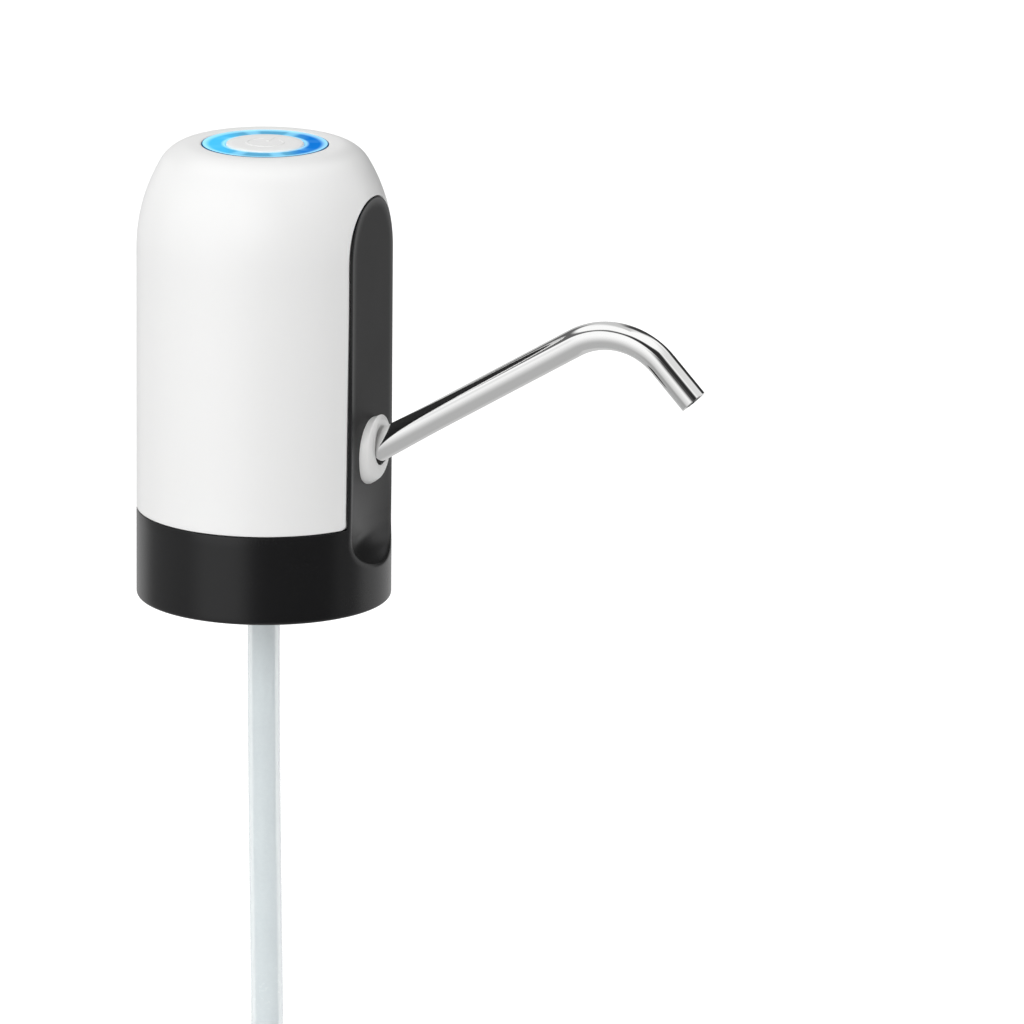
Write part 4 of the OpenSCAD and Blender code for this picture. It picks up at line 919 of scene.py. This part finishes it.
def base_shape():
    """Closed skin of the band with its inside, and of the spine that stands on it."""
    rows = corner((BODY_R - FOOT_R, FOOT_R), FOOT_R, -90, 0, 5) + [(BODY_R, z) for z in BAND_ROWS]
    low_face = recess_x(SCOOP_Z)
    deepest = math.sqrt(BODY_R ** 2 - low_face ** 2)
    for i in range(SCOOP_ROWS + 1):
        y = deepest * math.sin(math.pi / 2 * i / SCOOP_ROWS)
        x = math.sqrt(BODY_R ** 2 - y * y)
        drop = root(SCOOP_R ** 2 - (low_face + SCOOP_R - x) ** 2)
        rows.append((BODY_R, SCOOP_Z - drop))
    rows += [(BODY_R, 27.2), (BODY_R - 0.08, 27.4), (BODY_R - 0.3, BAND_H)]
    low_flange = flange_x(BAND_H)
    back_low = math.acos(low_flange / BODY_R)
    back = [back_low + (TAU - 2 * back_low) * k / (BACK + 1) for k in range(1, BACK + 1)]
    points, faces = [], []

    # Outside of the band, row by row. Its columns run across the spine from the left and on round the back.
    for radius, z in rows:
        line = front_outline(BODY_R if z > 20 else radius, z)
        points += [(x, -y, z) for x, y in line]
        points += [(radius * math.cos(a), radius * math.sin(a), z) for a in back]
    front = len(line)
    count = front + BACK
    faces += grid(len(rows), count)

    # Inside rows, each cut off at the plane of the spine's back
    angles = [math.atan2(-y, x) for x, y in line]
    start = len(points)
    wide = max(angles)
    deep = [SPINE_DEEP * share_of(4 - 5 * abs(a) / wide) for a in angles]
    ledge = [(low_flange - d, (low_flange - d) * math.tan(a), BAND_H) for a, d in zip(angles, deep)]
    points += ledge + [points[(len(rows) - 1) * count + front + k] for k in range(BACK)]
    for radius, z in BASE_INSIDE:
        for a, d in zip(angles, deep):
            r = min(radius, (low_flange - d if z >= BAND_H else SPINE_BACK_X) / math.cos(a))
            points.append((r * math.cos(a), r * math.sin(a), min(z, BAND_H)))
        points += [(radius * math.cos(a), radius * math.sin(a), z) for a in back]
    faces += grid(len(BASE_INSIDE) + 1, count, start=start)
    faces += bridge(start + len(BASE_INSIDE) * count, 0, count)

    # Spine above the band: front rows up to the point of its arch, and the flat back
    heights = [(BODY_R, z) for z in SPINE_ROWS]
    widest = math.sqrt(BODY_R ** 2 - FACE_X ** 2)
    for i in range(SPINE_ARCH_ROWS + 1):
        radius = math.sqrt(FACE_X ** 2 + (widest * math.cos(math.pi / 2 * i / SPINE_ARCH_ROWS)) ** 2)
        heights.append((radius, dome_height(radius)))
    rest = arch_radius(flange_x) ** 2 - FACE_X ** 2
    for i in range(1, SPINE_TIP_ROWS + 1):
        radius = math.sqrt(FACE_X ** 2 + rest * math.sin(math.pi / 2 * i / SPINE_TIP_ROWS))
        heights.append((radius, dome_height(radius)))
    spine = len(points)
    for radius, z in heights:
        points += [(x, -y, z) for x, y in front_outline(radius, z)]
    faces += grid(len(heights), front, wrap=False, start=spine)
    flat = len(points)
    full = math.sqrt(BODY_R ** 2 - low_flange ** 2)
    for radius, z in heights:
        plane = flange_x(z)
        share = root(radius ** 2 - plane ** 2) / full
        points += [(plane - d * min(1.0, 3 * share), y * share, z) for (_, y, _), d in zip(ledge, deep)]
    faces += grid(len(heights), front, wrap=False, start=flat)
    return points, faces


def tilted_rod(radius, low, high, count=64):
    """Closed rod along the spout's axis, from where that leaves the recess face."""
    points = []
    for s in (low, high):
        for a in around(count):
            outward = ACROSS * math.cos(a) + SPOUT_UP * math.sin(a)
            points.append(tuple(SPOUT_ROOT + SPOUT_AHEAD * s + outward * radius))
    return points, grid(2, count) + [tuple(range(count)), tuple(range(count, 2 * count))]


def socket_ribs():
    """Upright ribs between the neck socket and the band."""
    shapes = []
    for i in range(RIBS):
        a = (i + 0.5) * TAU / RIBS
        c, s = math.cos(a), math.sin(a)
        reach = min(RIB_OUT_R, SPINE_BACK_X / c) if c > 0 else RIB_OUT_R
        points, faces = box_shape((RIB_IN_R, -RIB_HALF, RIB_LOW), (reach, RIB_HALF, RIB_HIGH))
        shapes.append(([(x * c - y * s, x * s + y * c, z) for x, y, z in points], faces))
    return join(*shapes)


def mark_matte(obj):
    """Stores how matte each point of the front is, by its depth inside the round outline and its height."""
    store = obj.data.attributes.new("matte", "FLOAT", "POINT")
    for vertex, item in zip(obj.data.vertices, store.data):
        x, y, z = vertex.co / MM
        depth = dome_radius(z) - math.hypot(x, y) if x > SPINE_BACK_X else 0.0
        inside = share_of((depth - MATTE_CLEAR) / (MATTE_FULL - MATTE_CLEAR))
        high = share_of((z - DISH_FULL_Z) / (DISH_FROM_Z - DISH_FULL_Z))
        item.value = inside * (MATTE_LOW + (1 - MATTE_LOW) * high)


base = make_object("base_housing_skin", base_shape())
cut(base, tilted_rod(NECK_R + HOLE_SPARE, -HOLE_REACH, HOLE_REACH))
add_shape(base, socket_ribs())
dress(base, "base", "housing", ["base_housing"], sharp=30)
mark_matte(base)


# Light ring and button

RING_LOW = 137.3
RING_FLANGE_R = 21.2
RING_FLANGE_Z = 138.75
SKIRT_R = 17.0
SKIRT_IN_R = 14.5
SKIRT_LOW = 130.4
RING_SIDES = 160
BUTTON_IN_R = 9.7
BUTTON_UNDER_Z = 139.1
BUTTON_LOW = 135.8
BUTTON_FLANGE_R = 13.6
BUTTON_FLANGE_Z = 137.0
STEM_R = 2.25
STEM_LOW = 134.2
BUTTON_SIDES = 120
MARK_R = 5.6
MARK_W = 0.9
MARK_LOW = BUTTON_TOP - 0.3
MARK_TOP = BUTTON_TOP + 0.13
MARK_GAP = math.radians(25)
MARK_STEPS = 40


def make_ring():
    """Lens with a shallow groove and soft edges, on its flange and the skirt that leads the light."""
    profile = [(RING_IN_R, RING_LOW), (RING_IN_R, 140.5)]
    profile += corner((RING_IN_R + 0.35, 140.55), 0.35, 180, 90, 4)[1:]
    profile += [(14.2, 140.82), (15.8, 140.78), (17.4, 140.84), (18.4, 140.95)]
    profile += corner((RING_R - 0.4, 140.6), 0.4, 90, 0, 4)
    profile += [
        (RING_R, RING_FLANGE_Z), (RING_FLANGE_R, RING_FLANGE_Z), (RING_FLANGE_R, RING_LOW),
        (SKIRT_R, RING_LOW), (SKIRT_R, SKIRT_LOW), (SKIRT_IN_R, SKIRT_LOW), (SKIRT_IN_R, RING_LOW),
    ]
    made = make_object("light_ring_lens", lathe(profile, RING_SIDES, closed_grid))
    dress(made, "ring", "housing", ["light_ring"], sharp=32)


def symbol_shape():
    """Generic power mark: an open arc and a short bar, standing just proud of the button."""
    section = [
        (MARK_R - MARK_W / 2, MARK_LOW), (MARK_R + MARK_W / 2, MARK_LOW), (MARK_R + MARK_W / 3, MARK_TOP),
        (MARK_R - MARK_W / 3, MARK_TOP),
    ]
    points = []
    for i in range(MARK_STEPS + 1):
        a = math.pi / 2 + MARK_GAP + (TAU - 2 * MARK_GAP) * i / MARK_STEPS
        points += [(r * math.cos(a), r * math.sin(a), z) for r, z in section]
    faces = grid(MARK_STEPS + 1, 4) + [(0, 1, 2, 3), tuple(4 * MARK_STEPS + k for k in range(4))]
    bar = box_shape((-MARK_W / 2, MARK_R / 3, MARK_LOW), (MARK_W / 2, 1.25 * MARK_R, MARK_TOP))
    return join((points, faces), bar)


def make_button():
    """Cap with its flange and the stem that presses the plunger, and the mark on top."""
    profile = [
        (0.0, STEM_LOW), (STEM_R, STEM_LOW), (STEM_R, BUTTON_UNDER_Z), (BUTTON_IN_R, BUTTON_UNDER_Z),
        (BUTTON_IN_R, BUTTON_LOW), (BUTTON_FLANGE_R, BUTTON_LOW), (BUTTON_FLANGE_R, BUTTON_FLANGE_Z),
        (BUTTON_R, BUTTON_FLANGE_Z), (BUTTON_R, BUTTON_TOP - 0.7),
    ]
    profile += corner((BUTTON_R - 0.6, BUTTON_TOP - 0.65), 0.6, 0, 80, 5)[1:]
    profile += [(9.5, BUTTON_TOP - 0.02), (6.0, BUTTON_TOP), (3.0, BUTTON_TOP), (0.0, BUTTON_TOP)]
    made = make_object("power_button_cap", lathe(profile, BUTTON_SIDES))
    add_shape(made, symbol_shape())
    dress(made, "button", "button", ["power_button"], sharp=32)


make_ring()
make_button()


# Grommet and spout

COLLAR_SIDES = 96
SPOUT_SIDES = 96
SPOUT_LIP = 0.22
RUN_STEPS = 30
BEND_STEPS = 40
TIP_STEPS = 8


def oval_point(oval, angle):
    """Point on one of the collar's ovals."""
    half_y, half_z, middle, height = oval
    return Vector((FACE_X + height, half_y * math.cos(angle), SPOUT_Z + middle + half_z * math.sin(angle)))


def slide(point, x):
    """The point moved along the spout's line to a depth."""
    return point + SPOUT_AHEAD * ((x - point.x) / SPOUT_AHEAD.x)


def make_grommet():
    """Pale collar that leans with the spout: sloped side, firm rim, crowned top and slanting bore."""
    columns = []
    for a in around(COLLAR_SIDES):
        foot, rim = oval_point(COLLAR_FOOT, a), oval_point(COLLAR_RIM, a)
        outward = ACROSS * math.cos(a) + SPOUT_UP * math.sin(a)
        bore, neck = SPOUT_ROOT + outward * BORE_R, SPOUT_ROOT + outward * NECK_R
        hole = slide(bore, FACE_X + COLLAR_CROWN)
        inward, down = (hole - rim).normalized(), (foot - rim).normalized()
        width = (hole - rim).length
        soft = min(COLLAR_EDGE, COLLAR_EDGE * width)
        bulge = Vector((COLLAR_BULGE, 0, 0))
        columns.append([
            # Side
            foot - Vector((COLLAR_SINK, 0, 0)), foot.lerp(rim, 0.02), foot.lerp(rim, 0.45) + bulge,
            # Rim
            rim + down * soft, rim + down * soft * 0.36 + inward * soft * 0.12,
            rim + down * soft * 0.12 + inward * soft * 0.36, rim + inward * soft,
            # Top
            rim.lerp(hole, 0.3) + bulge * 1.6, rim.lerp(hole, 0.55) + bulge * 1.7,
            hole - inward * min(0.7, 0.25 * width) + bulge * 0.6,
            # Bore and neck
            hole - inward * 0.16 - SPOUT_AHEAD * 0.04, hole - SPOUT_AHEAD * 0.3, slide(bore, NECK_BACK_X),
            slide(neck, NECK_BACK_X), slide(neck, FACE_X - NECK_STEP),
        ])
    rows = list(zip(*columns))
    points = [tuple(p) for row in rows for p in row]
    made = make_object("spout_grommet_collar", (points, closed_grid(len(rows), COLLAR_SIDES)))
    dress(made, "grommet", "housing", ["spout_grommet"], sharp=40)


def spout_line():
    """Middle line of the spout in the x-z plane, finely divided."""
    run = SPOUT_RUN - SPOUT_START
    line = [SPOUT_ROOT + SPOUT_AHEAD * (SPOUT_START + run * i / RUN_STEPS) for i in range(RUN_STEPS)]
    centre = SPOUT_ROOT + SPOUT_AHEAD * SPOUT_RUN - SPOUT_UP * SPOUT_BEND
    for i in range(BEND_STEPS + 1):
        a = math.pi / 2 - SPOUT_TURN * i / BEND_STEPS
        line.append(centre + (SPOUT_AHEAD * math.cos(a) + SPOUT_UP * math.sin(a)) * SPOUT_BEND)
    end = math.pi / 2 - SPOUT_TURN
    way = SPOUT_AHEAD * math.sin(end) - SPOUT_UP * math.cos(end)
    line += [line[-1] + way * (SPOUT_TIP * i / TIP_STEPS) for i in range(1, TIP_STEPS + 1)]
    return [tuple(p) for p in line]


def root_swell(place):
    """How much wider the tube is near its root, by the distance from the flat."""
    share = share_of(1 - place / ROOT_LENGTH)
    return ROOT_SWELL * share * share * (3 - 2 * share)


def make_spout():
    line = spout_line()
    wider = []
    for i, radius, push in tube_rings(len(line), SPOUT_R + TUBE_SWELL, SPOUT_IN_R, SPOUT_LIP):
        near = (Vector(line[i]) - SPOUT_ROOT).length
        wider.append((i, radius + root_swell(near) if radius > SPOUT_R else radius, push))
    made = swept_object("spout_tube_polished", line, wider, SPOUT_SIDES)
    dress(made, "steel", "spout", ["spout_tube"], sharp=40)


make_grommet()
make_spout()


# Contact tongue in the charging socket, by its lowest and highest corner

TONGUE = ((-37.4, -3.3, 33.9), (-31.2, 3.3, 34.6))
tongue = make_object("charge_tongue", box_shape(*TONGUE))
dress(tongue, "chip", "housing", sharp=30)


# Stage, light and surroundings

# Floor in metres, and how much it glows to the camera
FLOOR_Z = -0.37
FLOOR_HALF = 30.0
FLOOR_GREY = (0.80, 0.80, 0.80)
FLOOR_GLOW = 0.62

# Light of the room, in degrees round from the camera and up. A ramp is (from, to, level at from,
# level at to), a span is (low, high, softness), and a patch is (level, span round, span up).
ROOM = (-48, 16, 0.47, 1.06)
BEHIND_LEVEL = 0.62
BEHIND = (150, 200, 20)
PATCHES = [
    # Dim lower left and lighter upper right
    (0.36, (-128, -62, 10), (-40, 14, 8)),
    (0.78, (45, 125, 12), (30, 56, 8)),
    # Unlit side of the studio, right of the camera and on behind
    (0.05, (-14, 74, 10), (-45, 26, 5)),
    (0.24, (74, 98, 6), (-45, 24, 5)),
    (0.03, (122, 174, 6), (-8, 33, 5)),
    (0.05, (148, 174, 6), (28, 56, 5)),
]

# Dark gap between the soft box and the ceiling: ramps of its middle and half width, border, span round, level
GAP_RISE = (-92, -52, 30.0, 49.0)
GAP_FALL = (-30, 10, 0.0, 12.0)
GAP_THIN = (-90, -60, 10.0, 5.5)
GAP_WIDEN = (-36, 6, 0.0, 10.0)
GAP_BORDER = (-3.0, 4.0, 1.0, 0.0)
GAP_SPAN = (-158, 33, 9)
GAP_LEVEL = (-60, -20, 0.14, 0.03)

# Lamps: name, degrees round from the camera, degrees up, distance and size in metres, power in watts
LAMP_AIM = Vector((0, 0, 0.07))
LAMPS = [
    ("key", -8, 26, 2.2, 1.6, 18.0),
    ("fill", -88, 15, 2.2, 1.6, 6.0),
    ("top", 0, 78, 2.0, 1.6, 3.7),
]


def seen_directly(tree):
    """1 for what the camera sees straight or through a clear surface, else 0."""
    path = add_node(tree, "LightPath")
    return math_node(tree, "MAXIMUM", path.outputs["Is Camera Ray"], path.outputs["Is Transmission Ray"])


def make_floor():
    mesh = bpy.data.meshes.new("floor")
    corners = [(-1, -1), (1, -1), (1, 1), (-1, 1)]
    mesh.from_pydata([(FLOOR_HALF * x, FLOOR_HALF * y, FLOOR_Z) for x, y in corners], [], [(0, 1, 2, 3)])
    floor = to_object("floor", mesh)
    floor.visible_glossy = False
    mat = new_material("pale_floor", FLOOR_GREY, 0.9, Specular_IOR_Level=0.0)
    tree, shader = graph_of(mat)
    shader.inputs["Emission Color"].default_value = (1, 1, 1, 1)
    glow = times(tree, seen_directly(tree), FLOOR_GLOW)
    tree.links.new(glow, shader.inputs["Emission Strength"])
    mesh.materials.append(mat)


def make_world():
    """White room with a soft box to the camera's left, an unlit side to its right and a dark band behind."""
    world = bpy.data.worlds.new("studio")
    scene.world = world
    world.use_nodes = True
    tree = world.node_tree
    back = tree.nodes["Background"]
    direction = add_node(tree, "TexCoord").outputs["Generated"]
    turned = add_node(tree, "VectorRotate", {"Vector": direction, "Angle": -CAM_AZ}, rotation_type="Z_AXIS")
    split = add_node(tree, "SeparateXYZ", {0: turned.outputs[0]})
    towards = times(tree, split.outputs[1], -1.0)
    round_a = math_node(tree, "ARCTAN2", split.outputs[0], towards)
    rise = math_node(tree, "ARCSINE", split.outputs[2])

    def ramp(value, low, high, to_low, to_high):
        return map_range(tree, value, math.radians(low), math.radians(high), to_low, to_high, smooth=True)

    def within(value, low, high, soft):
        enter = ramp(value, low - soft, low + soft, 0.0, 1.0)
        leave = ramp(value, high - soft, high + soft, 1.0, 0.0)
        return times(tree, enter, leave)

    level = ramp(rise, *ROOM)
    level = mix_value(tree, within(math_node(tree, "ABSOLUTE", round_a), *BEHIND), level, BEHIND_LEVEL)
    for value, turn, height in PATCHES:
        mask = times(tree, within(round_a, *turn), within(rise, *height))
        level = mix_value(tree, mask, level, value)
    middle = math_node(tree, "SUBTRACT", ramp(round_a, *GAP_RISE), ramp(round_a, *GAP_FALL))
    half = math_node(tree, "ADD", ramp(round_a, *GAP_THIN), ramp(round_a, *GAP_WIDEN))
    degrees = times(tree, rise, 180 / math.pi)
    off = math_node(tree, "ABSOLUTE", math_node(tree, "SUBTRACT", degrees, middle))
    inside = map_range(tree, math_node(tree, "SUBTRACT", off, half), *GAP_BORDER, smooth=True)
    inside = times(tree, inside, within(round_a, *GAP_SPAN))
    level = mix_value(tree, inside, level, ramp(round_a, *GAP_LEVEL))
    tree.links.new(mix_value(tree, seen_directly(tree), level, 1.0), back.inputs["Strength"])
    back.inputs["Color"].default_value = (1, 1, 1, 1)


def make_lamp(name, azimuth, elevation, distance, size, power):
    a, e = CAM_AZ + math.radians(azimuth), math.radians(elevation)
    data = bpy.data.lights.new(name, "AREA")
    data.shape = "DISK"
    data.size = size
    data.energy = power
    lamp = to_object(name, data)
    way = Vector((math.sin(a) * math.cos(e), -math.cos(a) * math.cos(e), math.sin(e)))
    lamp.location = LAMP_AIM + way * distance
    lamp.rotation_euler = way.to_track_quat("Z", "Y").to_euler()
    lamp.visible_glossy = False


make_floor()
make_world()
for lamp_facts in LAMPS:
    make_lamp(*lamp_facts)
